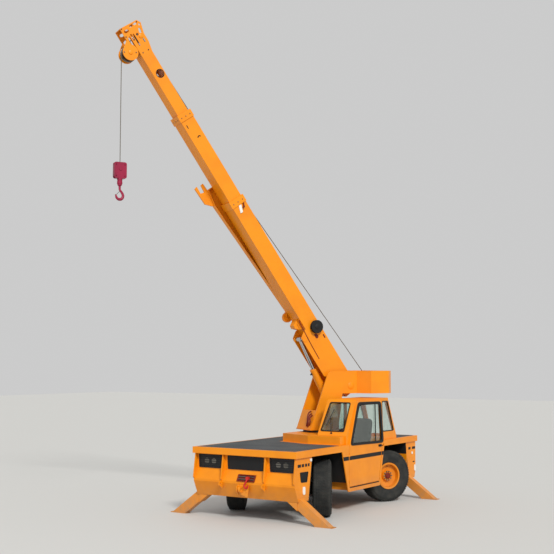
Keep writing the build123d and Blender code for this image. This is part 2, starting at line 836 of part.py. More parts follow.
web = 15
web_depth = 380
web_step_s = 440              # the webs are shallow below the hinge, over the cylinder's foot
web_step_depth = 305
eye_r = 50
eye_cap_r = 62
eye_cap = 10
belly = -base_height / 2
base_section = box_section(base_width, base_height, base_tail, base_head, mid_width, mid_height)
with BuildPart() as boom_base:
    add(base_section.part)
    for v in (base_width / 2, web - base_width / 2):
        with BuildSketch(boom_side(v)):
            face([
                (-60, belly),
                (-60, belly - 50),
                (300, 30 - web_step_depth),
                (web_step_s, -web_step_depth),
                (web_step_s + 80, -web_depth),
                (lift_s + 60, -web_depth),
                (lift_s + 150, belly - 60),
                (lift_s + 160, belly),
            ])
        extrude(amount=web)
    # caps outside the webs, over the lift cylinder's upper pin
    for v in (base_width / 2 + eye_cap, -base_width / 2):
        with BuildSketch(boom_side(v)):
            with Locations((lift_s, lift_t)):
                Circle(eye_cap_r)
        extrude(amount=eye_cap)
    with BuildSketch(boom_side()):
        Circle(pivot_hole_r)
    extrude(amount=base_width / 2 + 1, both=True, mode=Mode.SUBTRACT)
    # ram bracket under the belly
    with BuildSketch(boom_side()):
        face([
            (lift_s + 170, belly),
            (lift_s + 210, belly - 90),
            (lift_s + 290, belly - 160),
            (lift_s + 360, belly - 150),
            (lift_s + 430, belly),
        ])
    extrude(amount=90, both=True)

boom_mid = box_section(mid_width, mid_height, mid_tail, mid_head, tip_width, tip_height)

# the tip carries the head: two cheeks with windows, an end plate and two sheaves
cheek = 16
end_s = 8960
end_top = 185
end_foot = -240
top_sheave = (8640, 85)
low_sheave = (8455, -300)
low_sheave_r = 165
top_sheave_r = 95
head_frame = [
    (tip_head - 60, -tip_height / 2),
    (tip_head - 60, tip_height / 2),
    (tip_head + 150, 180),
    (8660, 178),
    (8880, 240),
    (end_s, end_top),
    (end_s, end_foot),
    (8700, end_foot),
    (8740, -tip_height / 2),
]
head_arm = [
    (low_sheave[0] - 60, -200),
    (8800, -200),
    (8800, end_foot),
    (8700, end_foot),
    (8600, low_sheave[1] - 80),
    low_sheave,
]
head_slots = [((8695, -92), 150, 36, 0), ((8615, -42), 270, 36, 0), ((8540, 105), 90, 34, 0),
              ((8745, 130), 110, 50, 15), ((8908, 60), 180, 44, 90), ((8855, -140), 110, 60, 90)]
with BuildPart() as boom_tip:
    with BuildSketch(boom_cross(tip_tail)):
        Rectangle(tip_width, tip_height)
    extrude(amount=tip_head - tip_tail)
    with BuildSketch(boom_cross(tip_tail - 1)):
        Rectangle(tip_width - 2 * boom_wall, tip_height - 2 * boom_wall)
    extrude(amount=tip_head - tip_tail + 2, mode=Mode.SUBTRACT)
    for v in (tip_width / 2, cheek - tip_width / 2):
        with BuildSketch(boom_side(v)):
            face(head_frame)
            face(head_arm)
            with Locations(low_sheave):
                Circle(low_sheave_r)
            for place, length, width, turn in head_slots:
                with Locations(Location(place + (0,), turn)):
                    SlotOverall(length, width, mode=Mode.SUBTRACT)
            with Locations((8704, 35)):
                Circle(28, mode=Mode.SUBTRACT)
            with Locations((8856, 190)):
                Circle(20, mode=Mode.SUBTRACT)
        extrude(amount=cheek)
    with BuildSketch(boom_side()):
        face([(end_s - cheek, end_top), (end_s, end_top), (end_s, end_foot), (end_s - cheek, end_foot)])
    extrude(amount=tip_width / 2 - cheek, both=True)
    with BuildSketch(boom_side()):
        with Locations(low_sheave, top_sheave):
            Circle(sheave_pin_r + gap)
        with Locations((7804, 23)):
            Circle(80)
    extrude(amount=tip_width / 2 + 1, both=True, mode=Mode.SUBTRACT)


sheave_half = 30
groove = 25
with BuildPart() as head_sheaves:
    for (s_place, t_place), radius in ((top_sheave, top_sheave_r), (low_sheave, low_sheave_r)):
        middle = boom_side().from_local_coords(Vector(s_place, t_place))
        with BuildSketch(Plane(origin=middle, x_dir=left, z_dir=along * -1)):
            face([
                (-sheave_half, 0),
                (-sheave_half, radius),
                (-rope_r - 8, radius),
                (-rope_r, radius - groove),
                (rope_r, radius - groove),
                (rope_r + 8, radius),
                (sheave_half, radius),
                (sheave_half, 0),
            ])
        revolve(axis=Axis(middle, left))
        with BuildSketch(boom_side()):
            with Locations((s_place, t_place)):
                Circle(sheave_pin_r)
        extrude(amount=tip_width / 2, both=True)

# ---- lift cylinder ----
foot_point = turret_side().from_local_coords(Vector(foot_u, foot_z))
eye_point = boom_side().from_local_coords(Vector(lift_s, lift_t))
lift_dir = (eye_point - foot_point).normalized()
lift_length = (eye_point - foot_point).length
lift_bore_start = 120
rod_tail = 610
foot_eye_r = 75
foot_eye_half = 80
eye_half = 80
with BuildPart() as lift_barrel:
    with BuildSketch(Plane(origin=foot_point + lift_dir * 60, z_dir=lift_dir)):
        Circle(lift_barrel_r)
    extrude(amount=lift_barrel_length - 60)
    with BuildSketch(turret_side()):
        with Locations((foot_u, foot_z)):
            Circle(foot_eye_r)
    extrude(amount=foot_eye_half, both=True)
    with BuildSketch(turret_side()):
        with Locations((foot_u, foot_z)):
            Circle(foot_r + gap)
    extrude(amount=foot_eye_half + 1, both=True, mode=Mode.SUBTRACT)
    with BuildSketch(Plane(origin=foot_point + lift_dir * lift_bore_start, z_dir=lift_dir)):
        Circle(lift_rod_r + gap)
    extrude(amount=lift_barrel_length, mode=Mode.SUBTRACT)

with BuildPart() as lift_rod:
    with BuildSketch(Plane(origin=foot_point + lift_dir * rod_tail, z_dir=lift_dir)):
        Circle(lift_rod_r)
    extrude(amount=lift_length - rod_tail)
    with BuildSketch(boom_side()):
        with Locations((lift_s, lift_t)):
            Circle(eye_r)
    extrude(amount=eye_half, both=True)
    # the upper pin stays in the eye and ends inside the boom's webs
    with BuildSketch(boom_side()):
        with Locations((lift_s, lift_t)):
            Circle(foot_r)
    extrude(amount=base_width / 2 - web - gap, both=True)

# ---- stowed jib beside the boom base ----
jib_near = -(base_width / 2 + collar_rise + gap)
jib_far = -330
jib_wall = 12
jib_tail = 1950
jib_roller_r = 110
jib_roller = (jib_tail, -195)
jib_beam = [
    (jib_tail, 40),
    (5235, -100),
    (5235, -255),
    (4880, -314),
    (jib_tail + 120, -135),
    (jib_tail + 45, jib_roller[1] - 30),
    (jib_tail - 45, jib_roller[1] - 30),
    (jib_tail - 60, -60),
]
fork_near = -250
fork_plate = 40
jib_fork = [
    (4886, -290),
    (4886, -341),
    (5010, -470),
    (5400, -488),
    (5417, -423),
    (5254, -428),
    (5232, -336),
    (5397, -321),
    (5403, -263),
    (5232, -255),
    (5225, -200),
]
with BuildPart() as stowed_jib:
    with BuildSketch(boom_side(jib_near)):
        face(jib_beam)
    extrude(amount=jib_near - jib_far)
    # the beam is a channel, open towards the boom
    with BuildSketch(boom_side(jib_near + 1)):
        face(jib_beam)
        offset(amount=-jib_wall, kind=Kind.INTERSECTION, mode=Mode.REPLACE)
    extrude(amount=jib_near - jib_far - jib_wall + 1, mode=Mode.SUBTRACT)
    with BuildSketch(boom_side(fork_near)):
        face(jib_fork)
    extrude(amount=fork_plate)
    with BuildSketch(boom_side(jib_near - 30)):
        with Locations(jib_roller):
            Circle(jib_roller_r)
    extrude(amount=60)
    # seats against the boom's side
    for s_place in (2500, 4300):
        with BuildSketch(boom_side(-base_width / 2 - gap)):
            with Locations((s_place, -80)):
                Rectangle(60, 100)
        extrude(amount=-base_width / 2 - gap - jib_far - jib_wall / 2)

reel_r = 140
with BuildPart() as hose_reel:
    with BuildSketch(boom_side(base_width / 2 + gap)):
        with Locations((1522, 53)):
            Circle(60)
    extrude(amount=-90)
    for v in (30, 90):
        with BuildSketch(boom_side(base_width / 2 + gap + v)):
            with Locations((1522, 53)):
                Circle(reel_r)
        extrude(amount=-6)

# ---- hoist rope, block and hook ----
low_point = boom_side().from_local_coords(Vector(*low_sheave))
rope_point = low_point + ahead * (low_sheave_r - groove + rope_r)
rope_low_z = rope_point.Z - rope_length
with BuildPart() as hoist_rope:
    with BuildSketch(Plane(origin=(rope_point.X, rope_point.Y, rope_low_z))):
        Circle(rope_r)
    extrude(amount=rope_length)

block_width = 260
block_depth = 100
block_top_z = rope_low_z - gap
block_side = Plane(origin=(rope_point.X, rope_point.Y, 0), x_dir=ahead, z_dir=left * -1)
with BuildPart() as hook_block:
    with BuildSketch(block_side):
        with Locations((0, block_top_z - block_height / 2)):
            RectangleRounded(block_width, block_height, 45)
    extrude(amount=block_depth / 2, both=True)

hook_top_z = block_top_z - block_height - gap
swivel_height = 150
swivel_r = 55
shank_r = 28
bowl_r = 100
bowl_hole_r = 52
bowl_half = 26
bowl_z = hook_top_z - hook_drop
with BuildPart() as hook:
    with BuildSketch(Plane(origin=(rope_point.X, rope_point.Y, hook_top_z))):
        Circle(swivel_r)
    extrude(amount=-swivel_height)
    with BuildSketch(Plane(origin=(rope_point.X, rope_point.Y, hook_top_z))):
        Circle(shank_r)
    extrude(amount=bowl_z + bowl_r - 20 - hook_top_z)
    with BuildSketch(block_side):
        with Locations((0, bowl_z)):
            Circle(bowl_r)
        with Locations((8, bowl_z + 12)):
            Circle(bowl_hole_r, mode=Mode.SUBTRACT)
        face([(15, bowl_z + 20), (bowl_r + 10, bowl_z - 5), (bowl_r + 10, bowl_z + bowl_r),
              (40, bowl_z + bowl_r)], Mode.SUBTRACT)
    extrude(amount=bowl_half, both=True)

# ---- pieces: drawn in the machine's frame, then set on the origin ----
pieces = {
    "chassis_frame": chassis_frame.part,
    "slew_bearing": slew_bearing.part,
    "deck": deck.part,
    "platform": platform.part,
    "tread_plates": tread_plates.part,
    "front_box": front_box.part,
    "rear_box": rear_box.part,
    "left_panel": left_panel.part,
    "right_panel": right_panel.part,
    "fuel_tank": fuel_tank.part,
    "engine": engine.part,
    "cab_shell": cab_shell.part,
    "cab_door": cab_door.part,
    "door_glass": door_glass.part,
    "cab_glass": cab_glass.part,
    "seat": seat.part,
    "steering_column": steering_column.part,
    "front_axle": front_axle.part,
    "rear_axle": rear_axle.part,
    "turret": turret.part,
    "counterweight": counterweight.part,
    "winch": winch.part,
    "turret_pins": turret_pins.part,
    "lift_barrel": lift_barrel.part,
    "lift_rod": lift_rod.part,
    "boom_base": boom_base.part,
    "stowed_jib": stowed_jib.part,
    "hose_reel": hose_reel.part,
    "boom_mid": boom_mid.part,
    "boom_tip": boom_tip.part,
    "head_sheaves": head_sheaves.part,
    "hoist_rope": hoist_rope.part,
    "hook_block": hook_block.part,
    "hook": hook.part,
}
pieces.update({name: beam.part for name, beam in outriggers.items()})
pieces.update({name: piece.part for name, piece in wheel_parts.items()})

low_x = min(piece.bounding_box().min.X for piece in pieces.values())
high_x = max(piece.bounding_box().max.X for piece in pieces.values())
low_y = min(piece.bounding_box().min.Y for piece in pieces.values())
high_y = max(piece.bounding_box().max.Y for piece in pieces.values())
low_z = min(piece.bounding_box().min.Z for piece in pieces.values())
shift = Vector(-(low_x + high_x) / 2, -(low_y + high_y) / 2, -low_z)

os.makedirs("parts", exist_ok=True)
for name, piece in pieces.items():
    placed = Pos(shift.X, shift.Y, shift.Z) * piece
    placed.label = name
    export_step(placed, f"parts/{name}.step")
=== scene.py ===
import bpy
import bmesh
import json
from math import acos, atan2, cos, hypot, pi, radians, sin
from mathutils import Matrix, Vector


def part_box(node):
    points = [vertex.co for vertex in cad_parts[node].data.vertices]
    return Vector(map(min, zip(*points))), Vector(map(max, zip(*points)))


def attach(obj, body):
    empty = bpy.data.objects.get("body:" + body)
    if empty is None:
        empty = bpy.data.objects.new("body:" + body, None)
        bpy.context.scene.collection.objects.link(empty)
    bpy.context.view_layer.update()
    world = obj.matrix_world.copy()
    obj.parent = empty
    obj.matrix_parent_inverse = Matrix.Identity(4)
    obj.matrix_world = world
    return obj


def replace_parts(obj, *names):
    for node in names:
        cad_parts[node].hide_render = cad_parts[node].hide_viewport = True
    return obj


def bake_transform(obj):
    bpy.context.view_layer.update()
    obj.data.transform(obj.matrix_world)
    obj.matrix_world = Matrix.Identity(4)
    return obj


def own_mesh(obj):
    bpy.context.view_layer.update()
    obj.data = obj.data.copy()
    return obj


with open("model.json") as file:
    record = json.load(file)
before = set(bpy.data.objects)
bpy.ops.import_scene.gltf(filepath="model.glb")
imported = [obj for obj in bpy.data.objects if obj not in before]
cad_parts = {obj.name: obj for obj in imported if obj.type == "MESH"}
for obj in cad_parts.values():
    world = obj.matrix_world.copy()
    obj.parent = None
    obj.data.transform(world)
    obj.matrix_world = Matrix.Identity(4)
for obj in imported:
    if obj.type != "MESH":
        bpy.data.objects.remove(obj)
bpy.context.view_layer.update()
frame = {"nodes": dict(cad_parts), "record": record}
nodes = frame["nodes"]
print("frame loaded", len(nodes))

# where things are: metres and degrees, X the machine's left, -Y its front and Z up, as in the solids
layout = {
    "frontY": -2.53, "deckZ": 1.36,
    "slewX": -0.05, "slewY": 0.411, "slewAngle": 29.4,
    "pivotU": -0.638, "pivotZ": 2.52, "boomAngle": 55.2,
    "footU": -0.25, "footZ": 2.134,  # the lift cylinder's lower pin
    "drumU": -1.12, "drumZ": 2.6,
    "frontSteer": 29.0, "rearSteer": -28.0,
}
deckLow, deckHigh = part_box("deck")
floorMid = Vector(((deckLow.x + deckHigh.x) / 2, deckLow.y - layout["frontY"], deckHigh.z - layout["deckZ"]))
slewTurn = radians(layout["slewAngle"])
boomTurn = radians(layout["boomAngle"])
ahead = Vector((-sin(slewTurn), -cos(slewTurn), 0))
left = Vector((cos(slewTurn), -sin(slewTurn), 0))
along = ahead * cos(boomTurn) + Vector((0, 0, sin(boomTurn)))
boomUp = Vector((0, 0, cos(boomTurn))) - ahead * sin(boomTurn)
sideways, forwards, upright = Vector((1, 0, 0)), Vector((0, -1, 0)), Vector((0, 0, 1))


def at(x, y, z):
    return floorMid + Vector((x, y, z))


def onFront(x, z, y):
    return at(x, y, z)


def onSide(y, z, x):
    return at(x, y, z)


# on the turret: u ahead of the slewing axis, v to the left of it; on the boom: s along it, t above its middle
def onTurret(u, v, z):
    return at(layout["slewX"], layout["slewY"], z) + ahead * u + left * v


def onBoom(s, v, t):
    return onTurret(layout["pivotU"], v, layout["pivotZ"]) + along * s + boomUp * t


def onFlank(s, t, v):
    return onBoom(s, v, t)


# materials
def colour(text):
    parts = [int(text[i:i + 2], 16) / 255 for i in (1, 3, 5)]
    return [p / 12.92 if p <= 0.04045 else ((p + 0.055) / 1.055) ** 2.4 for p in parts] + [1]


def addNode(tree, kind, settings=None, values=None, links=None):
    node = tree.nodes.new(kind)
    for key, value in (settings or {}).items():
        setattr(node, key, value)
    for key, value in (values or {}).items():
        node.inputs[key].default_value = value
    for key, source in (links or {}).items():
        tree.links.new(source, node.inputs[key])
    return node


def newMaterial(name):
    material = bpy.data.materials.new(name)
    material.use_nodes = True
    tree = material.node_tree
    tree.nodes.clear()
    coords = addNode(tree, "ShaderNodeTexCoord").outputs["Object"]
    return material, tree, coords


def closeMaterial(tree, surface):
    addNode(tree, "ShaderNodeOutputMaterial", links={"Surface": surface})


def noise(tree, coords, scale, detail=3):
    return addNode(tree, "ShaderNodeTexNoise", values={"Scale": scale, "Detail": detail},
                   links={"Vector": coords}).outputs["Fac"]


def mixColours(tree, factor, first, second):
    node = addNode(tree, "ShaderNodeMix", {"data_type": "RGBA"}, links={0: factor})
    for socket, value in ((node.inputs[6], first), (node.inputs[7], second)):
        if isinstance(value, list):
            socket.default_value = value
        else:
            tree.links.new(value, socket)
    return node.outputs[2]


def remap(tree, value, low, high):
    return addNode(tree, "ShaderNodeMapRange", values={1: low, 2: high}, links={0: value}).outputs[0]


def stretch(tree, value, low, high):
    return addNode(tree, "ShaderNodeMapRange", values={3: low, 4: high}, links={0: value}).outputs[0]


# repeats a metre: patches 45 cm across, dust 11 cm, sheen 17 cm, peel 7 mm (coarser than real, so it shows)
coatScale = {"patches": 2.2, "dust": 9, "sheen": 6, "peel": 140}


def coated(name, base, worn, roughness, peel, dustTop=0.0, dust="#8a7a62", metallic=0.0, coat=0.0,
           bevel=0.004):
    material, tree, coords = newMaterial(name)
    patches = remap(tree, noise(tree, coords, coatScale["patches"], 4), 0.42, 0.72)
    tint = mixColours(tree, patches, colour(base), colour(worn))
    if dustTop > 0:
        height = addNode(tree, "ShaderNodeSeparateXYZ", links={0: coords}).outputs["Z"]
        low = remap(tree, height, dustTop, 0.0)
        cloud = addNode(tree, "ShaderNodeMath", {"operation": "MULTIPLY"},
                        links={0: low, 1: noise(tree, coords, coatScale["dust"], 5)}).outputs[0]
        tint = mixColours(tree, cloud, tint, colour(dust))
    edge = addNode(tree, "ShaderNodeBevel", {"samples": 4}, values={"Radius": bevel}).outputs["Normal"]
    ripple = noise(tree, coords, coatScale["peel"], 2)
    bump = addNode(tree, "ShaderNodeBump", values={"Strength": peel, "Distance": 0.001},
                   links={"Height": ripple, "Normal": edge}).outputs["Normal"]
    rough = stretch(tree, noise(tree, coords, coatScale["sheen"]), roughness - 0.04, roughness + 0.08)
    gloss = {"Metallic": metallic, "Coat Weight": coat, "Coat Roughness": 0.2, "Specular IOR Level": 0.35}
    shader = addNode(tree, "ShaderNodeBsdfPrincipled", values=gloss,
                     links={"Base Color": tint, "Roughness": rough, "Normal": bump})
    closeMaterial(tree, shader.outputs[0])
    return material


def textured(material, tree, tint, height, strength, depth, roughness, metallic=0.0):
    bump = addNode(tree, "ShaderNodeBump", values={"Strength": strength, "Distance": depth},
                   links={"Height": height}).outputs["Normal"]
    shader = addNode(tree, "ShaderNodeBsdfPrincipled", values={"Roughness": roughness, "Metallic": metallic},
                     links={"Base Color": tint, "Normal": bump})
    closeMaterial(tree, shader.outputs[0])
    return material


# sprayed two-pack enamel: an even half-gloss orange, a little chalked, dusty low down
orangePaint = coated("orangeEnamel", "#ec8e05", "#e28406", 0.42, 0.08, 0.7, coat=0.08)
# the same enamel on the wheels: darker where brake dust sits
rimPaint = coated("wheelEnamel", "#e88a08", "#bd6c14", 0.45, 0.12, 0.5, coat=0.08)
# brushed chassis enamel: satin black, greyed by road dust; also the painted shade on the walls round the
# wheel arches
blackPaint = coated("chassisBlack", "#1c1d1e", "#26272a", 0.5, 0.15, 0.9, dust="#4a443a")
# sprayed crimson enamel of the hook block: clean and half-gloss
redPaint = coated("blockCrimson", "#93113a", "#6f0f2d", 0.4, 0.1, coat=0.15)
# oiled cast steel: rough, dark and dull
castSteel = coated("castSteel", "#2e2d2c", "#3a3835", 0.55, 0.5, 0.9, metallic=0.6)
# turned steel of pins and sheaves: grey with a soft shine
bareSteel = coated("machinedSteel", "#77746d", "#5d5a54", 0.35, 0.2, metallic=0.9)
# extruded rubber round the windows: matt black; also the colour of the painted shadow strip under the door
sealRubber = coated("sealRubber", "#101112", "#181818", 0.6, 0.3, bevel=0.002)
# rubber hose with a cloth-marked skin: black, slightly shiny
hoseRubber = coated("hoseRubber", "#141414", "#222221", 0.55, 0.4)
# grained vinyl of the seat: charcoal, soft sheen
seatVinyl = coated("seatVinyl", "#1d1e20", "#26272a", 0.6, 0.8)
# red oxide primer: brownish and dull; also the colour of the painted shadow along the boom's web
oxidePaint = coated("oxideRed", "#7c2313", "#5b1a10", 0.5, 0.3)
# bright red enamel of the front hook
hookRed = coated("tackleRed", "#c4261c", "#9c1c15", 0.4, 0.2)
# zinc-plated bolts: pale grey metal
zinc = coated("zincBolts", "#8f8d86", "#6f6c66", 0.4, 0.2, metallic=0.85, bevel=0.001)
# ground hard chrome of the cylinder's rod: a near mirror
chrome = coated("hardChrome", "#c9cbcc", "#b4b6b8", 0.12, 0.0, metallic=1.0)
# moulded white acrylic lenses and blank plates
whiteLens = coated("whiteLens", "#e9e9e4", "#dcdcd6", 0.2, 0.0, coat=0.6)


# grit-filled deck paint: dark grey, worn in patches, with grains of 4 mm (coarser than real, so they show)
def gritDeck():
    material, tree, coords = newMaterial("deckGrit")
    grain = noise(tree, coords, 260, 2)
    worn = remap(tree, noise(tree, coords, 1.6, 5), 0.35, 0.75)
    tint = mixColours(tree, worn, colour("#3f4447"), colour("#565a5a"))
    tint = mixColours(tree, remap(tree, grain, 0.5, 0.75), tint, colour("#2d3032"))
    return textured(material, tree, tint, grain, 0.8, 0.002, 0.9)


# moulded tyre rubber: nearly black, with pale clouds of dust 14 cm across
def tyreRubber():
    material, tree, coords = newMaterial("tyreRubber")
    cloud = noise(tree, coords, 7, 5)
    tint = mixColours(tree, remap(tree, cloud, 0.4, 0.8), colour("#1a1c1b"), colour("#35342f"))
    return textured(material, tree, tint, noise(tree, coords, 70, 4), 0.4, 0.002, 0.8)


# flat safety glass: clear with a faint green, mirroring more at a shallow angle
def clearGlass():
    material, tree, coords = newMaterial("cabGlass")
    film = remap(tree, noise(tree, coords, 3), 0.2, 0.9)
    tint = mixColours(tree, film, colour("#f2faf6"), colour("#e2efea"))
    through = addNode(tree, "ShaderNodeBsdfTransparent", links={"Color": tint}).outputs[0]
    shine = addNode(tree, "ShaderNodeBsdfGlossy", values={"Roughness": 0.03}).outputs[0]
    facing = addNode(tree, "ShaderNodeLayerWeight", values={"Blend": 0.25}).outputs["Facing"]
    share = stretch(tree, facing, 0.04, 0.4)
    surface = addNode(tree, "ShaderNodeMixShader", links={0: share, 1: through, 2: shine}).outputs[0]
    closeMaterial(tree, surface)
    return material


# greased steel wire rope: slanting light and dark bands where the strands turn
def wireRope():
    material, tree, coords = newMaterial("wireRope")
    twist = addNode(tree, "ShaderNodeTexWave", {"bands_direction": "DIAGONAL"},
                    values={"Scale": 22, "Distortion": 0.4}, links={"Vector": coords}).outputs["Fac"]
    tint = mixColours(tree, twist, colour("#4b463d"), colour("#8d867a"))
    return textured(material, tree, tint, twist, 0.7, 0.003, 0.5, 0.7)


grit = gritDeck()
rubber = tyreRubber()
glass = clearGlass()
rope = wireRope()
finishes = {
    "orange_paint": orangePaint, "deck_paint": grit, "black_paint": blackPaint, "red_paint": redPaint,
    "rim_paint": rimPaint, "bare_steel": bareSteel, "rod_chrome": chrome, "cast": castSteel,
    "tyre_rubber": rubber, "cab_glass": glass, "seat_vinyl": seatVinyl, "wire_rope": rope,
}
for entry in frame["record"]["subparts"]:
    piece = nodes[entry["node"]]
    piece.data.materials.clear()
    piece.data.materials.append(finishes[entry["material_slot"]])
print("materials on", len(finishes))


# shapes: each function adds to a bmesh, and addPiece turns it into an object on its body
def addItem(name, data):
    item = bpy.data.objects.new(name, data)
    bpy.context.scene.collection.objects.link(item)
    return item


def addPiece(name, build, material, body, smooth=35):
    bmesh.ops.recalc_face_normals(build, faces=build.faces)
    mesh = bpy.data.meshes.new(name)
    build.to_mesh(mesh)
    build.free()
    mesh.shade_smooth()
    mesh.set_sharp_from_angle(angle=radians(smooth))
    mesh.materials.clear()
    mesh.materials.append(material)
    item = addItem(name, mesh)
    if body:
        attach(item, body)
    return item


def joinRings(build, rings, capped=True):
    count = len(rings[0])
    for first, second in zip(rings, rings[1:]):
        for k in range(count):
            j = (k + 1) % count
            build.faces.new((first[k], first[j], second[j], second[k]))
    if capped:
        build.faces.new(rings[0])
        build.faces.new(rings[-1])


def rectangle(a0, b0, a1, b1):
    return [(a0, b0), (a1, b0), (a1, b1), (a0, b1)]


# a profile carried on over the middle plane to its own mirror image
def mirrored(profile):
    return profile + [(-a, r) for a, r in reversed(profile)]


def addPrism(build, outline, low, high, where):
    joinRings(build, [[build.verts.new(where(a, b, c)) for a, b in outline] for c in (low, high)])


# a profile of (distance along the axis, radius); one that never meets the axis closes on itself as a ring
def addLathe(build, profile, origin, axis, turns=48):
    axis = axis.normalized()
    side = axis.orthogonal().normalized()
    rings = []
    for a, r in profile:
        ring = []
        for k in range(turns):
            angle = 2 * pi * k / turns
            spoke = side * cos(angle) + axis.cross(side) * sin(angle)
            ring.append(build.verts.new(origin + axis * a + spoke * max(r, 0.0004)))  # never quite a point
        rings.append(ring)
    hollow = profile[0][1] > 0 and profile[-1][1] > 0
    joinRings(build, rings + rings[:1] * hollow, not hollow)


def runAt(points, i):
    before, after = points[max(i - 1, 0)], points[min(i + 1, len(points) - 1)]
    return (after - before).normalized()


def addSweep(build, points, radius, sides=12):
    rings = []
    last = None
    for i, point in enumerate(points):
        run = runAt(points, i)
        last = run.orthogonal().normalized() if last is None else (last - run * last.dot(run)).normalized()
        other = run.cross(last)
        turns = [2 * pi * k / sides for k in range(sides)]
        rings.append([build.verts.new(point + (last * cos(a) + other * sin(a)) * radius) for a in turns])
    joinRings(build, rings)


def curved(points, steps=8):
    path = []
    for i in range(len(points) - 1):
        p0, p1, p2, p3 = points[max(i - 1, 0)], points[i], points[i + 1], points[min(i + 2, len(points) - 1)]
        for k in range(steps):
            t = k / steps
            path.append(0.5 * (2 * p1 + (p2 - p0) * t + (2 * p0 - 5 * p1 + 4 * p2 - p3) * t * t
                               + (3 * p1 - p0 - 3 * p2 + p3) * t ** 3))
    path.append(points[-1])
    return path


# a flat frame: the outline, and the same outline drawn in towards its middle
def frameStrip(build, outline, thickness, low, high, where):
    spots = [Vector(spot) for spot in outline]
    middle = sum(spots, Vector((0, 0))) / len(spots)
    inner = [spot + (middle - spot).normalized() * thickness for spot in spots]
    corners = ((outline, low), (outline, high), (inner, high), (inner, low))
    rings = [[build.verts.new(where(a, b, c)) for a, b in ring] for ring, c in corners]
    joinRings(build, rings + rings[:1], False)


def rounded(outline, radius, steps=4):
    result = []
    count = len(outline)
    for i in range(count):
        point = Vector(outline[i])
        before = (Vector(outline[i - 1]) - point).normalized()
        after = (Vector(outline[(i + 1) % count]) - point).normalized()
        start, end = point + before * radius, point + after * radius
        for k in range(steps + 1):
            t = k / steps
            result.append(tuple(start * (1 - t) ** 2 + point * 2 * t * (1 - t) + end * t * t))
    return result


# blocks round a circle: nuts, bolts and tread; each is turned outwards, then leant about the spoke
def ringGroup():
    group = bpy.data.node_groups.new("ringOfBlocks", "GeometryNodeTree")
    face = group.interface
    face.new_socket("Geometry", in_out="OUTPUT", socket_type="NodeSocketGeometry")
    for name, kind in (("Count", "Int"), ("Radius", "Float"), ("Height", "Float"), ("Turn", "Float"),
                       ("Lean", "Float"), ("Sides", "Int"), ("Size", "Vector"), ("Material", "Material")):
        face.new_socket(name, in_out="INPUT", socket_type="NodeSocket" + kind)
    given = addNode(group, "NodeGroupInput").outputs
    circle = addNode(group, "GeometryNodeMeshCircle",
                     links={"Vertices": given["Count"], "Radius": given["Radius"]}).outputs["Mesh"]
    spot = addNode(group, "GeometryNodeInputPosition").outputs[0]
    turned = addNode(group, "FunctionNodeAlignRotationToVector", {"axis": "X"},
                     links={"Vector": spot}).outputs[0]
    leanVector = addNode(group, "ShaderNodeCombineXYZ", links={"X": given["Lean"]}).outputs[0]
    leaned = addNode(group, "FunctionNodeRotateRotation", {"rotation_space": "LOCAL"},
                     links={0: turned, 1: leanVector}).outputs[0]
    bolt = addNode(group, "GeometryNodeMeshCylinder", values={"Radius": 0.5, "Depth": 1.0},
                   links={"Vertices": given["Sides"]}).outputs["Mesh"]
    spread = {"Points": circle, "Instance": bolt, "Rotation": leaned, "Scale": given["Size"]}
    copies = addNode(group, "GeometryNodeInstanceOnPoints", links=spread).outputs[0]
    real = addNode(group, "GeometryNodeRealizeInstances", links={0: copies}).outputs[0]
    turnVector = addNode(group, "ShaderNodeCombineXYZ", links={"Z": given["Turn"]}).outputs[0]
    lift = addNode(group, "ShaderNodeCombineXYZ", links={"Z": given["Height"]}).outputs[0]
    moved = addNode(group, "GeometryNodeTransform",
                    links={"Geometry": real, "Translation": lift, "Rotation": turnVector}).outputs[0]
    painted = addNode(group, "GeometryNodeSetMaterial",
                      links={"Geometry": moved, "Material": given["Material"]}).outputs[0]
    addNode(group, "NodeGroupOutput", links={0: painted})
    return group


ringBlocks = ringGroup()


def addRing(build, place, count, radius, size, material, height=0.0, turn=0.0, lean=0.0, sides=6):
    carrier = addItem("ringCarrier", bpy.data.meshes.new("ringCarrier"))
    modifier = carrier.modifiers.new("ring", "NODES")
    modifier.node_group = ringBlocks
    given = {"Count": count, "Radius": radius, "Height": height, "Turn": turn, "Lean": lean, "Sides": sides,
             "Size": size, "Material": material}
    for item in ringBlocks.interface.items_tree:
        if item.in_out == "INPUT":
            modifier[item.identifier] = given[item.name]
    bpy.context.view_layer.update()
    made = bpy.data.meshes.new_from_object(carrier.evaluated_get(bpy.context.evaluated_depsgraph_get()))
    made.transform(place)
    build.from_mesh(made)
    carrier.modifiers.clear()
    bpy.data.objects.remove(carrier)
    bpy.data.meshes.remove(made)


def axisMatrix(origin, axis):
    axis = axis.normalized()
    side = upright.cross(axis).normalized() if abs(axis.z) < 0.9 else sideways
    other = axis.cross(side)
    side = other.cross(axis)
    return Matrix.Translation(origin) @ Matrix((side, other, axis)).transposed().to_4x4()


# one bolt head, as three blocks turned over each other
def addBolt(build, spot, axis, width, height):
    addRing(build, axisMatrix(spot, axis), 3, 0.0005, (width, width, height), zinc)


def plainName(node):
    return node.title().replace("_", "")


# wheels: the tyre's wall is (distance from the middle plane, radius) from the bead to the crown
wheels = {
    "crown": 0.55, "grooves": (0.1, 0.06, 0.02), "grooveDepth": 0.01,
    "treadBlocks": 64, "treadRows": ((0.137, 0.03), (0.08, 0.026), (0.04, 0.026)),
    "wallRings": ((0.385, 0.1765), (0.5, 0.1815)), "nuts": 10, "nutCircle": 0.095,
}
tyreWall = [(0.148, 0.266), (0.148, 0.291), (0.155, 0.298), (0.162, 0.33), (0.172, 0.375), (0.1795, 0.43),
            (0.179, 0.47), (0.172, 0.508), (0.16, 0.535), (0.145, 0.546), (0.128, wheels["crown"])]


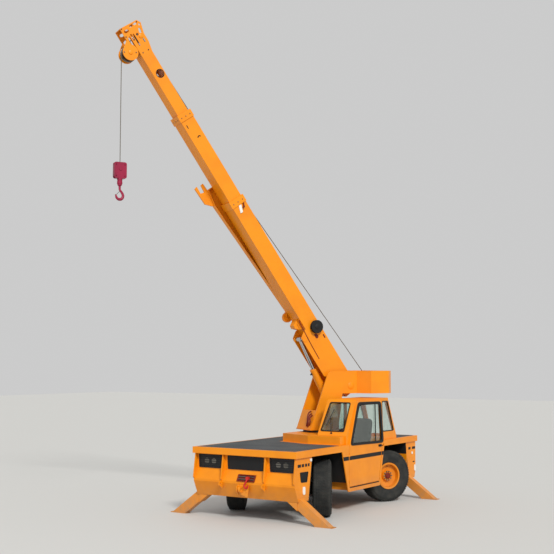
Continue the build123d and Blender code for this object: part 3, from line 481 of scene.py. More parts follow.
def wheel(corner, side, steer):
    out = Vector((cos(radians(steer)), sin(radians(steer)), 0)) * side
    low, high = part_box("tyre_" + corner)
    middle = (low + high) / 2
    place = axisMatrix(middle, out)
    body = "wheel_" + corner
    ending = plainName(corner)
    crown = wheels["crown"]
    deep = crown - wheels["grooveDepth"]
    tyre = bmesh.new()
    section = list(tyreWall)
    for g in wheels["grooves"]:
        section += [(g + 0.006, crown), (g + 0.005, deep), (g - 0.005, deep), (g - 0.006, crown)]
    addLathe(tyre, mirrored(section), middle, out, 96)
    for sign in (1, -1):
        for reach, width in wheels["treadRows"]:
            addRing(tyre, place, wheels["treadBlocks"], crown - 0.002, (0.013, 0.03, width), rubber,
                    sign * reach, reach * 20, sign * 0.2, 4)
    for radius, reach in wheels["wallRings"]:
        addLathe(tyre, [(0.15, radius - 0.004), (reach, radius), (0.15, radius + 0.004)], middle, out, 96)
    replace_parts(addPiece("tyreTread" + ending, tyre, rubber, body, 30), "tyre_" + corner)

    hub = bmesh.new()
    addLathe(hub, [(0.1, 0), (0.1, 0.068), (0.135, 0.066), (0.15, 0.05), (0.152, 0)], middle, out, 32)
    addRing(hub, place, 8, 0.036, (0.012, 0.012, 0.012), zinc, 0.153)
    addPiece("hubCap" + ending, hub, oxidePaint, body)
    nuts = bmesh.new()
    for wide, long, high, sides in ((0.028, 0.03, 0.122, 6), (0.015, 0.05, 0.125, 12)):
        addRing(nuts, place, wheels["nuts"], wheels["nutCircle"], (wide, wide, long), zinc, high, sides=sides)
    addPiece("wheelNuts" + ending, nuts, zinc, body)
    valve = bmesh.new()
    stem = middle + out * 0.08 + upright * 0.2
    addSweep(valve, [stem, stem + out * 0.03 + upright * 0.01, stem + out * 0.05], 0.005, 8)
    addPiece("valveStem" + ending, valve, hoseRubber, body)


for end in ("front", "rear"):
    for hand, side in (("_left", 1), ("_right", -1)):
        wheel(end + hand, side, layout[end + "Steer"])
print("wheels done")

# front: an upright face with the lamps, then a slope out to the nose with the fairlead on it
front = {
    "faceY": -2.43, "slopeTop": 0.93, "slopeLow": 0.74,
    "guardIn": 0.56, "guardOut": 1.13, "guardHigh": 1.215, "guardLow": 0.955, "slats": 5,
    "lampsX": (0.76, 0.93), "lampZ": 1.09,
}
faceY, noseY = front["faceY"], layout["frontY"]
slopeLean = (faceY - noseY) / (front["slopeTop"] - front["slopeLow"])


def onSlope(x, z, out):
    return at(x, faceY - (front["slopeTop"] - z) * slopeLean - out, z)


def guardOutline(side, inset):
    inner, outer = side * (front["guardIn"] + inset), side * (front["guardOut"] - inset)
    low, high = front["guardLow"] + inset / 2, front["guardHigh"] - inset / 2
    return [(inner, high), (outer, high), (outer - side * 0.015, low), (inner + side * 0.02, low)]


guards = bmesh.new()
slatLow, slatHigh = front["guardLow"] + 0.045, front["guardHigh"] - 0.045
for side in (-1, 1):
    rim = rounded(guardOutline(side, 0), 0.02)
    frameStrip(guards, rim, 0.035, faceY - 0.012, faceY - 0.0005, onFront)
    for k in range(front["slats"]):
        z = slatLow + k * (slatHigh - slatLow) / (front["slats"] - 1)
        slat = rectangle(faceY - 0.011, z - 0.006, faceY - 0.005, z + 0.006)
        addPrism(guards, slat, side * (front["guardIn"] + 0.03), side * (front["guardOut"] - 0.03), onSide)
low, high = front["guardLow"], front["guardHigh"]
panel = [(-0.43, high), (0.43, high), (0.415, low), (-0.415, low)]
addPrism(guards, rounded(panel, 0.02), faceY - 0.008, faceY - 0.0005, onFront)
addPiece("lampGuards", guards, sealRubber, "chassis")
backing = bmesh.new()
for side in (-1, 1):
    addPrism(backing, guardOutline(side, 0.02), faceY - 0.003, faceY - 0.0005, onFront)
addPiece("lampRecess", backing, blackPaint, "chassis")
lamps = bmesh.new()
for side in (-1, 1):
    for x in front["lampsX"]:
        addLathe(lamps, [(0, 0), (0, 0.055), (0.002, 0.057), (0.003, 0.04), (0.0035, 0)],
                 at(side * x, faceY - 0.003, front["lampZ"]), forwards, 32)
addPiece("headLamps", lamps, bareSteel, "chassis")

fairlead = bmesh.new()
frameStrip(fairlead, rectangle(-0.135, 0.875, 0.275, 0.748), 0.028, -0.01, 0.022, onSlope)
addPrism(fairlead, rectangle(-0.12, 0.865, 0.26, 0.757), -0.012, 0.002, onSlope)
addPiece("fairleadFrame", fairlead, oxidePaint, "chassis")
rollers = bmesh.new()
for z in (0.79, 0.835):
    addSweep(rollers, [onSlope(-0.11, z, 0.012), onSlope(0.25, z, 0.012)], 0.013, 16)
addPiece("fairleadRollers", rollers, bareSteel, "chassis")

frontHook = bmesh.new()
bend = ((0.1, 0.04, 0.735), (0.075, 0.048, 0.69), (0.085, 0.05, 0.645), (0.12, 0.05, 0.632),
        (0.15, 0.05, 0.655), (0.153, 0.05, 0.69))  # x, distance in front of the nose, z
hookPath = [onSlope(0.12, 0.82, 0.02), onSlope(0.12, 0.79, 0.05)]
hookPath += [at(x, noseY - out, z) for x, out, z in bend]
addSweep(frontHook, curved(hookPath, 6), 0.017, 12)
addLathe(frontHook, mirrored([(0.03, 0), (0.03, 0.036)]), onSlope(0.12, 0.81, 0.035), sideways, 24)
addPiece("winchHook", frontHook, hookRed, "chassis")

pintle = bmesh.new()
backPlate = rounded([(-0.12, 0.69), (0.15, 0.69), (0.13, 0.45), (-0.03, 0.5)], 0.02)
addPrism(pintle, backPlate, noseY - 0.002, noseY - 0.02, onFront)
fin = [(noseY, 0.68), (noseY - 0.07, 0.66), (noseY - 0.07, 0.56), (noseY, 0.47)]
addPrism(pintle, fin, -0.105, -0.08, onSide)
addLathe(pintle, mirrored([(0.02, 0.03), (0.02, 0.06)]), at(-0.02, noseY - 0.045, 0.6), sideways, 24)
place = axisMatrix(at(0.06, noseY - 0.022, 0.6), forwards)
addRing(pintle, place, 4, 0.06, (0.022, 0.022, 0.012), zinc, 0, pi / 4)
addPiece("pintlePlate", pintle, orangePaint, "chassis")
print("front done")

# skirts: slots as (from y, to y), and small lamps as (y, z, half width, half height)
skirt = {
    "x": 1.1855, "slotZ": 1.09, "slotHalf": 0.028,
    "slots": ((-2.425, -2.31), (-2.28, -2.2), (-2.16, -2.09), (-2.06, -2.0), (2.29, 2.4), (2.48, 2.64)),
    "lamps": ((-2.21, 0.62, 0.04, 0.075), (-1.955, 1.175, 0.03, 0.03), (2.47, 0.98, 0.03, 0.03),
              (2.61, 0.635, 0.035, 0.07)),
}
vents = bmesh.new()
low, high = skirt["slotZ"] - skirt["slotHalf"], skirt["slotZ"] + skirt["slotHalf"]
for side in (-1, 1):
    near, far = side * skirt["x"], side * (skirt["x"] + 0.002)
    for start, finish in skirt["slots"]:
        addPrism(vents, rounded(rectangle(start, low, finish, high), 0.008), near, far, onSide)
    rim = rounded([(-2.35, 0.97), (-2.05, 0.965), (-2.1, 0.77), (-2.315, 0.78)], 0.02)
    frameStrip(vents, rim, 0.022, near, side * (skirt["x"] + 0.008), onSide)
    grille = rounded([(-2.34, 0.96), (-2.06, 0.955), (-2.11, 0.78), (-2.305, 0.79)], 0.02)
    addPrism(vents, grille, near, side * (skirt["x"] + 0.0015), onSide)
    addPrism(vents, rounded(rectangle(2.51, 0.765, 2.6, 0.79), 0.006), near, far, onSide)
addPiece("skirtVents", vents, sealRubber, "chassis")
markers = bmesh.new()
for side in (-1, 1):
    for y, z, halfWide, halfHigh in skirt["lamps"]:
        outline = rounded(rectangle(y - halfWide, z - halfHigh, y + halfWide, z + halfHigh), halfWide * 0.9)
        addPrism(markers, outline, side * skirt["x"], side * (skirt["x"] + 0.012), onSide)
addPiece("markerLamps", markers, whiteLens, "chassis")

# walls round each wheel's arch, under the deck, coloured black as painted shade
arch = {"innerX": 0.46, "outerX": 1.183, "top": 1.3, "plate": 0.008}
top, plate = arch["top"], arch["plate"]
frontArch = [(-2.026, 0.43), (-1.884, top), (-0.749, top), (-0.543, 0.6)]
rearArch = [(0.862, 0.5), (1.056, top), (2.1445, top), (2.286, 0.43)]
inwards = ((plate, 0), (plate, -plate), (-plate, -plate), (-plate, 0))
shadeWalls = bmesh.new()
for path in (frontArch, rearArch):
    inner = [(y + shift, z + drop) for (y, z), (shift, drop) in zip(path, inwards)]
    for side in (-1, 1):
        addPrism(shadeWalls, path + inner[::-1], side * arch["innerX"], side * arch["outerX"], onSide)
addPiece("archShadeWalls", shadeWalls, blackPaint, "chassis")

# the black stripe, on the door and on both sides, and a painted shadow strip under the door
stripe = {"z": 1.09, "half": 0.04, "inX": 1.2199, "outX": 1.2206}
low, high = stripe["z"] - stripe["half"], stripe["z"] + stripe["half"]
inX, outX = stripe["inX"], stripe["outX"]
band = bmesh.new()
addPrism(band, [(-0.508, low), (0.89, low), (0.908, high), (-0.508, high)], inX, outX, onSide)
addPiece("doorStripe", band, sealRubber, "cab_door")
band = bmesh.new()
addPrism(band, [(-0.757, high), (-0.734, low), (-0.52, low), (-0.52, high)], inX, outX, onSide)
addPrism(band, [(0.925, high), (0.91, low), (0.988, low), (1.009, high)], inX, outX, onSide)
addPrism(band, [(-0.757, high), (-0.734, low), (0.988, low), (1.009, high)], -inX, -outX, onSide)
# a painted shadow: a dark strip on the panel under the door's bottom edge, standing in for the shade of the
# gap
addPrism(band, [(-0.49, 0.492), (0.78, 0.492), (0.785, 0.51), (-0.49, 0.51)], inX, outX, onSide)
addPiece("sideStripesAndDoorShadow", band, sealRubber, "chassis")

# cab: window rubbers, the door's handle and hinges, the wiper and the seat
cab = {"doorX": 1.22, "quarterX": 1.172, "innerX": 0.507, "screenLow": 1.54, "screenHigh": 2.22}
doorX, quarterX, innerX = cab["doorX"], cab["quarterX"], cab["innerX"]
seals = bmesh.new()
doorWindow = rounded([(-0.466, 1.34), (-0.138, 2.21), (0.89, 2.195), (1.0, 1.31)], 0.1, 6)
frameStrip(seals, doorWindow, 0.085, doorX - 0.006, doorX + 0.012, onSide)
addSweep(seals, [at(doorX + 0.002, 0.64, 1.36), at(doorX + 0.002, 0.62, 2.175)], 0.012, 8)
addPiece("doorRubber", seals, sealRubber, "cab_door")
handle = bmesh.new()
grip = ((0.002, 0.79, 1.26), (0.03, 0.8, 1.262), (0.035, 0.87, 1.262), (0.002, 0.89, 1.26))  # out, y, z
addSweep(handle, curved([at(doorX + out, y, z) for out, y, z in grip], 5), 0.009, 10)
base = rounded(rectangle(0.77, 1.235, 0.91, 1.285), 0.015)
addPrism(handle, base, doorX - 0.0005, doorX + 0.006, onSide)
addPiece("doorHandle", handle, sealRubber, "cab_door")
hinges = bmesh.new()
for z in (0.62, 1.16):
    addLathe(hinges, mirrored([(0.04, 0), (0.04, 0.01)]), at(doorX + 0.004, -0.5, z), upright, 16)
addPiece("doorHinges", hinges, orangePaint, "chassis")

shellSeals = bmesh.new()
quarter = rounded([(1.035, 1.535), (1.015, 2.195), (1.293, 2.195), (1.576, 1.535)], 0.05, 4)
frameStrip(shellSeals, quarter, 0.022, quarterX, quarterX + 0.015, onSide)
frontPane = [(-0.44, 1.59), (-0.135, 2.2), (0.57, 2.2), (0.57, 1.59)]
rearPane = [(0.63, 1.59), (0.63, 2.2), (1.275, 2.2), (1.55, 1.59)]
for outline in (frontPane, rearPane):
    frameStrip(shellSeals, rounded(outline, 0.04), 0.028, innerX, innerX - 0.014, onSide)
screenFoot, screenHead = Vector((0, -0.56, cab["screenLow"])), Vector((0, -0.15, cab["screenHigh"]))
screenRun = (screenHead - screenFoot).normalized()
screenOut = Vector((0, -screenRun.z, screenRun.y))


def screenUp(z):
    return (z - cab["screenLow"]) / screenRun.z


def onScreen(x, up, out):
    spot = screenFoot + screenRun * up + screenOut * out
    return at(x, spot.y, spot.z)


screen = [(x, screenUp(z)) for x, z in ((0.545, 1.613), (0.585, 2.197), (1.075, 2.197), (1.105, 1.613))]
frameStrip(shellSeals, rounded(screen, 0.04), 0.026, -0.004, 0.012, onScreen)
addPiece("windowRubbers", shellSeals, sealRubber, "chassis")
wiper = bmesh.new()
addSweep(wiper, [onScreen(0.82, screenUp(1.58), 0.015), onScreen(0.7, screenUp(1.9), 0.022)], 0.006, 8)
addSweep(wiper, [onScreen(0.66, screenUp(1.72), 0.016), onScreen(0.735, screenUp(2.05), 0.018)], 0.007, 8)
addLathe(wiper, [(0, 0), (0, 0.018), (0.02, 0.016), (0.02, 0)], onScreen(0.82, screenUp(1.58), 0),
         screenOut, 16)
addPiece("wiper", wiper, sealRubber, "chassis")

seat = {
    "x": 0.85, "y": 0.425, "z": 1.12, "points": 48,
    "base": (0.46, 0.45, 0.105), "back": (0.44, 0.6, 0.09),  # width, depth and thickness
    "crown": ((0, 0.86), (0.08, 0.96), (0.3, 1), (0.62, 1), (0.82, 0.965), (0.93, 0.88), (0.985, 0.7),
              (1, 0.4)),  # share of the thickness, share of the width
}


# a square with soft corners, one unit from the middle to a side
def softSquare(k):
    angle = 2 * pi * k / seat["points"]
    c, d = cos(angle), sin(angle)
    reach = (abs(c) ** 6 + abs(d) ** 6) ** (-1 / 6)
    return c * reach, d * reach


def addCushion(build, size, where):
    width, depth, height = size
    outline = [softSquare(k) for k in range(seat["points"])]
    rings = []
    for rise, part in seat["crown"]:
        wide, long = part * width / 2, part * depth / 2
        rings.append([build.verts.new(where(a * wide, b * long, rise * height)) for a, b in outline])
    joinRings(build, rings)
    wide, long = width * 0.487, depth * 0.487
    addSweep(build, [where(a * wide, b * long, 0.8 * height) for a, b in outline + outline[:1]], 0.005, 8)


def addSeam(build, up, high, dip, where):
    addSweep(build, [where(a / 20, up, high - dip * (a / 4) ** 4) for a in range(-4, 5)], 0.005, 8)


def onBase(a, b, c):
    return at(seat["x"] + a, seat["y"] + b, seat["z"] + c)


def onBack(a, b, out):
    lean = Vector((0, 0.165, 0.63)).normalized()
    return onBase(a, 0.265, 0.1) + lean * (0.31 + b) + Vector((0, -lean.z, lean.y)) * out


cushions = bmesh.new()
addCushion(cushions, seat["base"], onBase)
addCushion(cushions, seat["back"], onBack)
for up in (-0.14, 0.02, 0.18):
    addSeam(cushions, up, 0.0895, 0.01, onBack)
for up in (-0.12, 0.02):
    addSeam(cushions, up, 0.104, 0.012, onBase)
addPrism(cushions, rectangle(-0.15, -0.095, 0.15, 0.215), -0.33, -0.002, onBase)
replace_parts(addPiece("seatCushions", cushions, seatVinyl, "chassis"), "seat")
print("cab done")

# turret: bolts and pin keepers on the side plates, tackle on the sloped front plate, rope on the drum
turret = {"half": 0.31, "plateFoot": (0.385, 1.58), "plateHead": (-0.057, 2.78), "ropeTurns": 17}
half = turret["half"]
(plateU, plateZ), (headU, headZ) = turret["plateFoot"], turret["plateHead"]
plateLean = (plateU - headU) / (headZ - plateZ)


def onTurretFront(v, z, out):
    return onTurret(plateU - (z - plateZ) * plateLean + out, v, z)


# the path of a rope wound on a drum, from right to left
def wound(centre, first, second, radius, start, width, turns, steps):
    path = []
    for k in range(turns * steps + 1):
        angle = 2 * pi * k / steps
        spoke = first * cos(angle) + second * sin(angle)
        path.append(centre + left * (start + width * k / (turns * steps)) + spoke * radius)
    return path


bolts = bmesh.new()
for z in (2.67, 2.5):
    for side in (1, -1):
        addBolt(bolts, onTurret(-0.825, side * half, z), left * side, 0.03, 0.04)
addPiece("turretBolts", bolts, zinc, "turret")
pins = bmesh.new()
boomPin, footPin = (layout["pivotU"], layout["pivotZ"], 0.075), (layout["footU"], layout["footZ"], 0.06)
for side in (1, -1):
    for u, z, radius in (boomPin, footPin):
        addLathe(pins, [(0, 0), (0, radius), (0.008, radius), (0.012, radius - 0.006), (0.012, 0)],
                 onTurret(u, side * half, z), left * side, 32)
        addRing(pins, axisMatrix(onTurret(u, side * (half + 0.01), z), left * side), 3, radius * 0.6,
                (0.016, 0.016, 0.014), zinc)
addPiece("pinKeepers", pins, orangePaint, "turret")
tackle = bmesh.new()
for v, start, finish in ((0.1, 1.66, 1.98), (0.16, 1.64, 1.93), (0.22, 1.68, 1.9)):
    loop = [onTurretFront(v, start, 0.004), onTurretFront(v + 0.03, start + 0.1, 0.04),
            onTurretFront(v - 0.02, finish - 0.06, 0.045), onTurretFront(v, finish, 0.006)]
    addSweep(tackle, curved(loop, 6), 0.014, 10)
addPiece("turretTackle", tackle, oxidePaint, "turret")
drumRope = bmesh.new()
drumCentre = onTurret(layout["drumU"], 0, layout["drumZ"])
coil = wound(drumCentre, ahead, upright, 0.128, -0.17, 0.34, turret["ropeTurns"], 24)
addSweep(drumRope, coil, 0.008, 6)
addPiece("drumRope", drumRope, rope, "turret")
print("turret done")

# boom: half widths and half heights of the sections; a sheave is (distance along the boom, height)
boom = {
    "baseHalf": 0.1965, "baseTop": 0.1765, "midHalf": 0.1745, "midTop": 0.1605, "tipHalf": 0.145,
    "baseCollar": 4.72, "midCollar": 6.8, "collarRise": 0.015,
    "topSheave": (8.64, 0.085), "topRopeR": 0.078, "lowSheave": (8.455, -0.3), "lowRopeR": 0.148,
    "baseRoller": 4.725, "midRoller": 6.8, "rollerRise": 0.018, "rollerR": 0.016, "ropeR": 0.008,
    "headBolts": ((8.33, -0.07), (8.33, 0.07), (8.93, 0.165), (8.94, -0.215), (8.4, -0.2), (8.52, -0.42),
                  (8.76, -0.215)),
}
flank, midFlank, tipFlank = boom["baseHalf"], boom["midHalf"], boom["tipHalf"]
marks = bmesh.new()
addPrism(marks, rounded(rectangle(4.57, 0.075, 4.64, 0.098), 0.01), flank + 0.0002, flank + 0.002, onFlank)
addPiece("boomBaseSlots", marks, sealRubber, "boom_base")
plate = bmesh.new()
blank = rounded([(4.485, -0.085), (4.64, -0.03), (4.64, 0.035), (4.485, -0.02)], 0.012)
addPrism(plate, blank, flank + 0.0005, flank + 0.018, onFlank)
addPiece("collarBlankPlate", plate, whiteLens, "boom_base")
catch = bmesh.new()
for out, outline in ((0.032, [(4.55, 0.035), (4.65, 0.09), (4.65, 0.112), (4.55, 0.058)]),
                     (0.05, [(4.55, 0.02), (4.575, 0.034), (4.575, 0.072), (4.55, 0.058)])):
    addPrism(catch, outline, flank + 0.003, flank + out, onFlank)
addPiece("collarCatch", catch, oxidePaint, "boom_base")
cover = bmesh.new()
for outline in (rounded(rectangle(1.29, -0.075, 1.4, -0.005), 0.034, 6),
                rounded(rectangle(1.19, 0.105, 1.28, 0.133), 0.012)):
    addPrism(cover, outline, flank, flank + 0.006, onFlank)
addPiece("boomCovers", cover, oxidePaint, "boom_base")

hoseReel = {"s": 1.522, "t": 0.053, "flanges": ((0.03, 0.036), (0.09, 0.096)), "hoseR": 0.008, "turns": 5}
reelAt = onBoom(hoseReel["s"], flank + 0.0003, hoseReel["t"])
reel = bmesh.new()
for low, high in hoseReel["flanges"]:
    addLathe(reel, [(low, 0.05), (low, 0.14), (low + 0.002, 0.142), (high - 0.002, 0.142), (high, 0.14),
                    (high, 0.05)], reelAt, left, 40)
addLathe(reel, [(0, 0), (0, 0.06), (0.1, 0.06), (0.108, 0.045), (0.108, 0)], reelAt, left, 32)
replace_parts(addPiece("hoseReelDrum", reel, sealRubber, "boom_base"), "hose_reel")
hose = bmesh.new()
addSweep(hose, wound(reelAt, along, boomUp, 0.122, 0.044, 0.038, hoseReel["turns"], 32), hoseReel["hoseR"], 8)
addPiece("reelHose", hose, hoseRubber, "boom_base")
# a painted shadow: a dark strip on the web along the boom's bottom flange, standing in for the shade that
# flange casts
flangeShadow = bmesh.new()
flangeShadowPath = [onBoom(s, flank, t) for s, t in ((1.86, -0.205), (1.6, -0.232), (1.24, -0.256), (0.9, -0.268))]
addSweep(flangeShadow, curved(flangeShadowPath, 6), 0.01, 8)
addPiece("webFlangeShadow", flangeShadow, oxidePaint, "boom_base")


def collarBolts(name, body, s, half, spacing, faces):
    bolts = bmesh.new()
    for k in (-1, 0, 1):
        for sign in (1, -1):
            addBolt(bolts, onBoom(s, sign * half, k * spacing), left * sign, 0.022, 0.016)
        for sign in faces:
            addBolt(bolts, onBoom(s, k * spacing, sign * collarTops[body]), boomUp * sign, 0.022, 0.016)
    addPiece(name, bolts, zinc, body)


rise = boom["collarRise"]
collarTops = {"boom_base": boom["baseTop"] + rise, "boom_mid": boom["midTop"] + rise}
collarBolts("baseCollarBolts", "boom_base", boom["baseCollar"], flank + rise, 0.12, (1,))
collarBolts("midCollarBolts", "boom_mid", boom["midCollar"], midFlank + rise, 0.11, (1, -1))
marks = bmesh.new()
for k in range(5):
    angle = radians(-60 + 30 * k)
    addLathe(marks, [(0, 0), (0, 0.013), (0.0003, 0.012), (0.0003, 0)],
             onBoom(6.28 + 0.035 * cos(angle), midFlank, 0.025 + 0.035 * sin(angle)), left, 12)
addPrism(marks, rounded(rectangle(6.55, -0.1, 6.63, -0.08), 0.008), midFlank, midFlank + 0.0003, onFlank)
addPiece("midMarks", marks, sealRubber, "boom_mid")
ring = bmesh.new()
for sign in (1, -1):
    addLathe(ring, [(0, 0.08), (0, 0.094), (0.004, 0.092), (0.004, 0.08)],
             onBoom(7.804, sign * tipFlank, 0.023), left * sign, 40)
addPiece("tipHoleRims", ring, sealRubber, "boom_tip")

head = bmesh.new()
for s, t in (boom["topSheave"], boom["lowSheave"]):
    for sign in (1, -1):
        addLathe(head, [(0, 0), (0, 0.046), (0.01, 0.046), (0.014, 0.04), (0.014, 0)],
                 onBoom(s, sign * tipFlank, t), left * sign, 32)
addPiece("headPinCaps", head, orangePaint, "boom_tip")
bolts = bmesh.new()
for s, t in boom["headBolts"]:
    for sign in (1, -1):
        addBolt(bolts, onBoom(s, sign * tipFlank, t), left * sign, 0.026, 0.02)
addPiece("headBolts", bolts, zinc, "boom_tip")
print("boom done")

# lift cylinder: its gland, a band near the foot and two ports under the barrel
lift = {"band": 0.1, "gland": 0.8, "ports": (0.2, 0.76), "eyeS": 1.45, "eyeT": -0.32}
footPoint = onTurret(layout["footU"], 0, layout["footZ"])
eyePoint = onBoom(lift["eyeS"], 0, lift["eyeT"])
liftRun = (eyePoint - footPoint).normalized()
gland = bmesh.new()
addLathe(gland, [(0, 0.084), (0, 0.0853), (0.035, 0.0853), (0.042, 0.083), (0.042, 0.06), (0.048, 0.056),
                 (0.048, 0.046), (0, 0.046)], footPoint + liftRun * lift["gland"], liftRun, 40)
addLathe(gland, [(0, 0.08), (0, 0.0875), (0.02, 0.0875), (0.02, 0.08)], footPoint + liftRun * lift["band"],
         liftRun, 40)
addPiece("liftGland", gland, orangePaint, "lift_barrel")
ports = bmesh.new()
under = -liftRun.cross(left).normalized()
for reach in lift["ports"]:
    addLathe(ports, [(0.08, 0), (0.08, 0.02), (0.11, 0.02), (0.115, 0.012), (0.125, 0.012), (0.125, 0)],
             footPoint + liftRun * reach, under, 16)
addPiece("liftPorts", ports, castSteel, "lift_barrel")

# hook block: two cheeks with rounded corners, a sheave between them, bars across and studs
blockLook = {"half": 0.13, "cheek": 0.05, "cheekInside": 0.032, "sheaveDrop": 0.14, "bowlRise": 0.1}
ropeLow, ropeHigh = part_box("hoist_rope")
ropeAxis = (ropeLow + ropeHigh) / 2
blockLow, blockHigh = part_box("hook_block")


def onBlock(u, z, v):
    return Vector((ropeAxis.x, ropeAxis.y, z)) + ahead * u + left * v


top, bottom = blockHigh.z, blockLow.z
half, cheek, cheekInside = blockLook["half"], blockLook["cheek"], blockLook["cheekInside"]
sheaveZ = top - blockLook["sheaveDrop"]
block = bmesh.new()
for low, high in ((-cheek, -cheekInside), (cheekInside, cheek)):
    addPrism(block, rounded(rectangle(-half, bottom, half, top), 0.045, 5), low, high, onBlock)
sheave = mirrored([(0.03, 0), (0.03, 0.12), (0.012, 0.12), (0.01, 0.098)])
addLathe(block, sheave, onBlock(0, sheaveZ, 0), left, 40)
for low, high in ((bottom, bottom + 0.075), (top - 0.03, top)):
    addPrism(block, rectangle(-0.085, low, 0.085, high), -0.033, 0.033, onBlock)
for sign in (-1, 1):
    bar = rectangle(sign * (half - 0.014), bottom + 0.05, sign * half, top - 0.05)
    addPrism(block, bar, -0.033, 0.033, onBlock)
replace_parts(addPiece("blockCheeks", block, redPaint, "hook_block"), "hook_block")
studs = bmesh.new()
for sign in (1, -1):
    addLathe(studs, [(0, 0), (0, 0.035), (0.008, 0.033), (0.008, 0)], onBlock(0, sheaveZ, sign * cheek),
             left * sign, 24)
    for drop in (0.05, 0.28):
        for u in (-0.09, 0.09):
            addBolt(studs, onBlock(u, top - drop, sign * cheek), left * sign, 0.022, 0.014)
addPiece("blockStuds", studs, redPaint, "hook_block")

# hook: a swivel under the block, and a forging that follows the radii given
hookLow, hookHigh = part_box("hook")
hookTop = hookHigh.z
bowl = hookLow.z + blockLook["bowlRise"]
swivel = bmesh.new()
addLathe(swivel, [(0, 0), (0, 0.055), (0.03, 0.055), (0.034, 0.05), (0.06, 0.05), (0.064, 0.0545),
                  (0.11, 0.0545), (0.118, 0.046), (0.142, 0.043), (0.15, 0.03), (0.15, 0)],
         onBlock(0, hookTop, 0), -upright, 32)
addPiece("hookSwivel", swivel, redPaint, "hook")
shank = [(0, hookTop - 0.14, 0.024), (0, hookTop - 0.18, 0.024)]  # u, z and radius
hookBend = ((-0.005, 0.12, 0.022), (-0.04, 0.075, 0.024), (-0.07, 0.02, 0.027), (-0.062, -0.035, 0.03),
            (-0.025, -0.068, 0.031), (0.025, -0.068, 0.029), (0.06, -0.04, 0.025), (0.075, 0, 0.019),
            (0.082, 0.025, 0.012))  # u, height over the bowl's middle and radius
spine = shank + [(u, bowl + high, radius) for u, high, radius in hookBend]
radii = [radius for u, z, radius in spine]
steps = 5
smooth = curved([onBlock(u, z, 0) for u, z, radius in spine], steps)
rings = []
for i, point in enumerate(smooth):
    k, share = i // steps, i % steps / steps
    radius = radii[min(k, len(radii) - 2)] * (1 - share) + radii[min(k + 1, len(radii) - 1)] * share
    across = runAt(smooth, i).cross(left)
    turns = [2 * pi * k / 16 for k in range(16)]
    rings.append([point + (left * cos(a) * 0.8 + across * sin(a)) * radius for a in turns])
hookShape = bmesh.new()
joinRings(hookShape, [[hookShape.verts.new(spot) for spot in ring] for ring in rings])
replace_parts(addPiece("hookForging", hookShape, redPaint, "hook"), "hook")
latch = bmesh.new()
latchPath = [onBlock(u, bowl + high, 0) for u, high in ((-0.012, 0.1), (0.05, 0.04), (0.07, 0.02))]
addSweep(latch, latchPath, 0.006, 8)
addPiece("hookLatch", latch, bareSteel, "hook")

# the hoist rope: drum, a roller on each section's collar, the top sheave and the low sheave
ropeSpots = {}
for body, s in (("boom_base", boom["baseRoller"]), ("boom_mid", boom["midRoller"])):
    top = collarTops[body]
    middle = top + boom["rollerRise"]
    guide = bmesh.new()
    spool = mirrored([(0.06, 0), (0.06, 0.022), (0.05, 0.022), (0.045, 0.016)])
    addLathe(guide, spool, onBoom(s, 0, middle), left, 24)
    addPiece("ropeRoller" + plainName(body), guide, bareSteel, body)
    lugs = bmesh.new()
    high = middle + 0.02
    lug = rounded([(s - 0.035, top), (s + 0.035, top), (s + 0.018, high), (s - 0.018, high)], 0.008)
    for near, far in ((-0.072, -0.062), (0.062, 0.072)):
        addPrism(lugs, lug, near, far, onFlank)
    addPiece("rollerLugs" + plainName(body), lugs, orangePaint, body)
    ropeSpots[body] = onBoom(s, 0, middle + boom["rollerR"] + boom["ropeR"])
hoist = {"fleet": 0.02, "coilR": 0.144, "midTravel": 1.85, "tipTravel": 1.3, "hoistTravel": 1.6}
drumMiddle = onTurret(layout["drumU"], hoist["fleet"], layout["drumZ"])
reach = ropeSpots["boom_base"] - drumMiddle
lean = atan2(reach.dot(boomUp), reach.dot(along)) + radians(90) - hoist["coilR"] / reach.length
drumLeave = drumMiddle + (along * cos(lean) + boomUp * sin(lean)) * hoist["coilR"]
topS, topT = boom["topSheave"]
lowS, lowT = boom["lowSheave"]
topR, lowR = boom["topRopeR"], boom["lowRopeR"]
headEntry = onBoom(topS, 0, topT + topR)


def straightRope(name, start, end, body, count):
    build = bmesh.new()
    addSweep(build, [start.lerp(end, k / count) for k in range(count + 1)], boom["ropeR"], 8)
    return addPiece(name, build, rope, body)


drumToBase = straightRope("ropeDrumToBase", drumLeave, ropeSpots["boom_base"], None, 60)
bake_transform(drumToBase)
baseToMid = straightRope("ropeBaseToMid", ropeSpots["boom_base"], ropeSpots["boom_mid"], "boom_base", 8)
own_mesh(baseToMid)
midToHead = straightRope("ropeMidToHead", ropeSpots["boom_mid"], headEntry, "boom_mid", 8)
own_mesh(midToHead)
leanDown = atan2(lowT - topT, lowS - topS) + acos((topR - lowR) / hypot(topS - lowS, topT - lowT))
wrap = []
for s, t, radius, first, last in ((topS, topT, topR, radians(90), leanDown),
                                  (lowS, lowT, lowR, leanDown, radians(-75))):
    for k in range(13):
        angle = first + (last - first) * k / 12
        wrap.append(onBoom(s + radius * cos(angle), 0, t + radius * sin(angle)))
headRope = bmesh.new()
addSweep(headRope, wrap, boom["ropeR"], 8)
addPiece("headRope", headRope, rope, "boom_tip")
hoistRope = nodes["hoist_rope"]
hangPoints = [hoistRope.matrix_world @ vertex.co for vertex in hoistRope.data.vertices]
hangTop = sum(hangPoints, Vector()) / len(hangPoints)
hangLow = hangTop.copy()
hangTop.z = max(point.z for point in hangPoints)
hangLow.z = min(point.z for point in hangPoints)
hangRope = straightRope("hangingRope", hangTop, hangLow, "hoist_line", 12)
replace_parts(hangRope, "hoist_rope")
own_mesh(hangRope)
print("hook and ropes done")

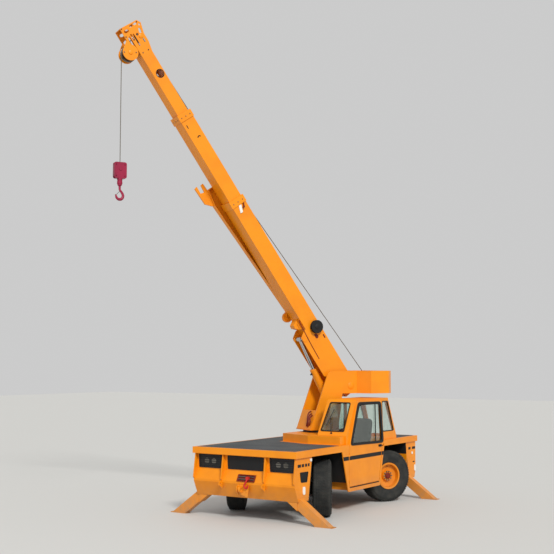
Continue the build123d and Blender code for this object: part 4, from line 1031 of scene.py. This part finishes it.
# a pale floor, a low warm sun from the front left, an even sky and a soft fill from the front
stage = {
    "floorHalf": 60, "floor": "#cbcbc8", "sky": 0.6,
    "sun": 2.4, "sunRun": (-0.64, 0.48, -0.6), "sunSpread": 12,
    "fill": 250, "fillWidth": 9, "fillPlace": (2, -18, 6), "fillTarget": (0, 0, 2),
    "lens": 65, "cameraPlace": (11.236, -18.471, 3.032), "cameraTilt": 0.085, "cameraTurn": 0.58,
}


def aimed(item, run):
    item.rotation_mode = "QUATERNION"
    item.rotation_quaternion = run.to_track_quat("-Z", "Y")


floorMesh = bmesh.new()
edge = stage["floorHalf"]
floorMesh.faces.new([floorMesh.verts.new((a, b, 0)) for a, b in rectangle(-edge, -edge, edge, edge)])
mesh = bpy.data.meshes.new("floor")
floorMesh.to_mesh(mesh)
floorMesh.free()
floor = addItem("floor", mesh)
floorMaterial, floorTree = newMaterial("studioFloor")[:2]
matt = {"Base Color": colour(stage["floor"]), "Roughness": 0.8}
closeMaterial(floorTree, addNode(floorTree, "ShaderNodeBsdfPrincipled", values=matt).outputs[0])
mesh.materials.append(floorMaterial)

world = bpy.data.worlds.new("studio")
world.use_nodes = True
bpy.context.scene.world = world
world.node_tree.nodes.clear()
white = {"Color": colour("#ffffff"), "Strength": stage["sky"]}
sky = addNode(world.node_tree, "ShaderNodeBackground", values=white)
addNode(world.node_tree, "ShaderNodeOutputWorld", links={"Surface": sky.outputs[0]})

sun = bpy.data.lights.new("keySun", "SUN")
sun.energy = stage["sun"]
sun.angle = radians(stage["sunSpread"])
sun.color = (1, 0.98, 0.95)
aimed(addItem("keySun", sun), Vector(stage["sunRun"]))
fill = bpy.data.lights.new("fillLight", "AREA")
fill.shape = "DISK"
fill.size = stage["fillWidth"]
fill.energy = stage["fill"]
fill.color = (0.95, 0.97, 1)
fillItem = addItem("fillLight", fill)
fillItem.location = at(*stage["fillPlace"])
aimed(fillItem, at(*stage["fillTarget"]) - at(*stage["fillPlace"]))
bpy.context.scene.view_settings.view_transform = "Standard"

camera = bpy.data.cameras.new("camera")
camera.lens = stage["lens"]
camera.sensor_width = 36
camera.clip_end = 500
cameraItem = addItem("camera", camera)
cameraItem.location = at(*stage["cameraPlace"])
cameraItem.rotation_euler = (pi / 2 + stage["cameraTilt"], 0, stage["cameraTurn"])
bpy.context.scene.camera = cameraItem
print("stage done")
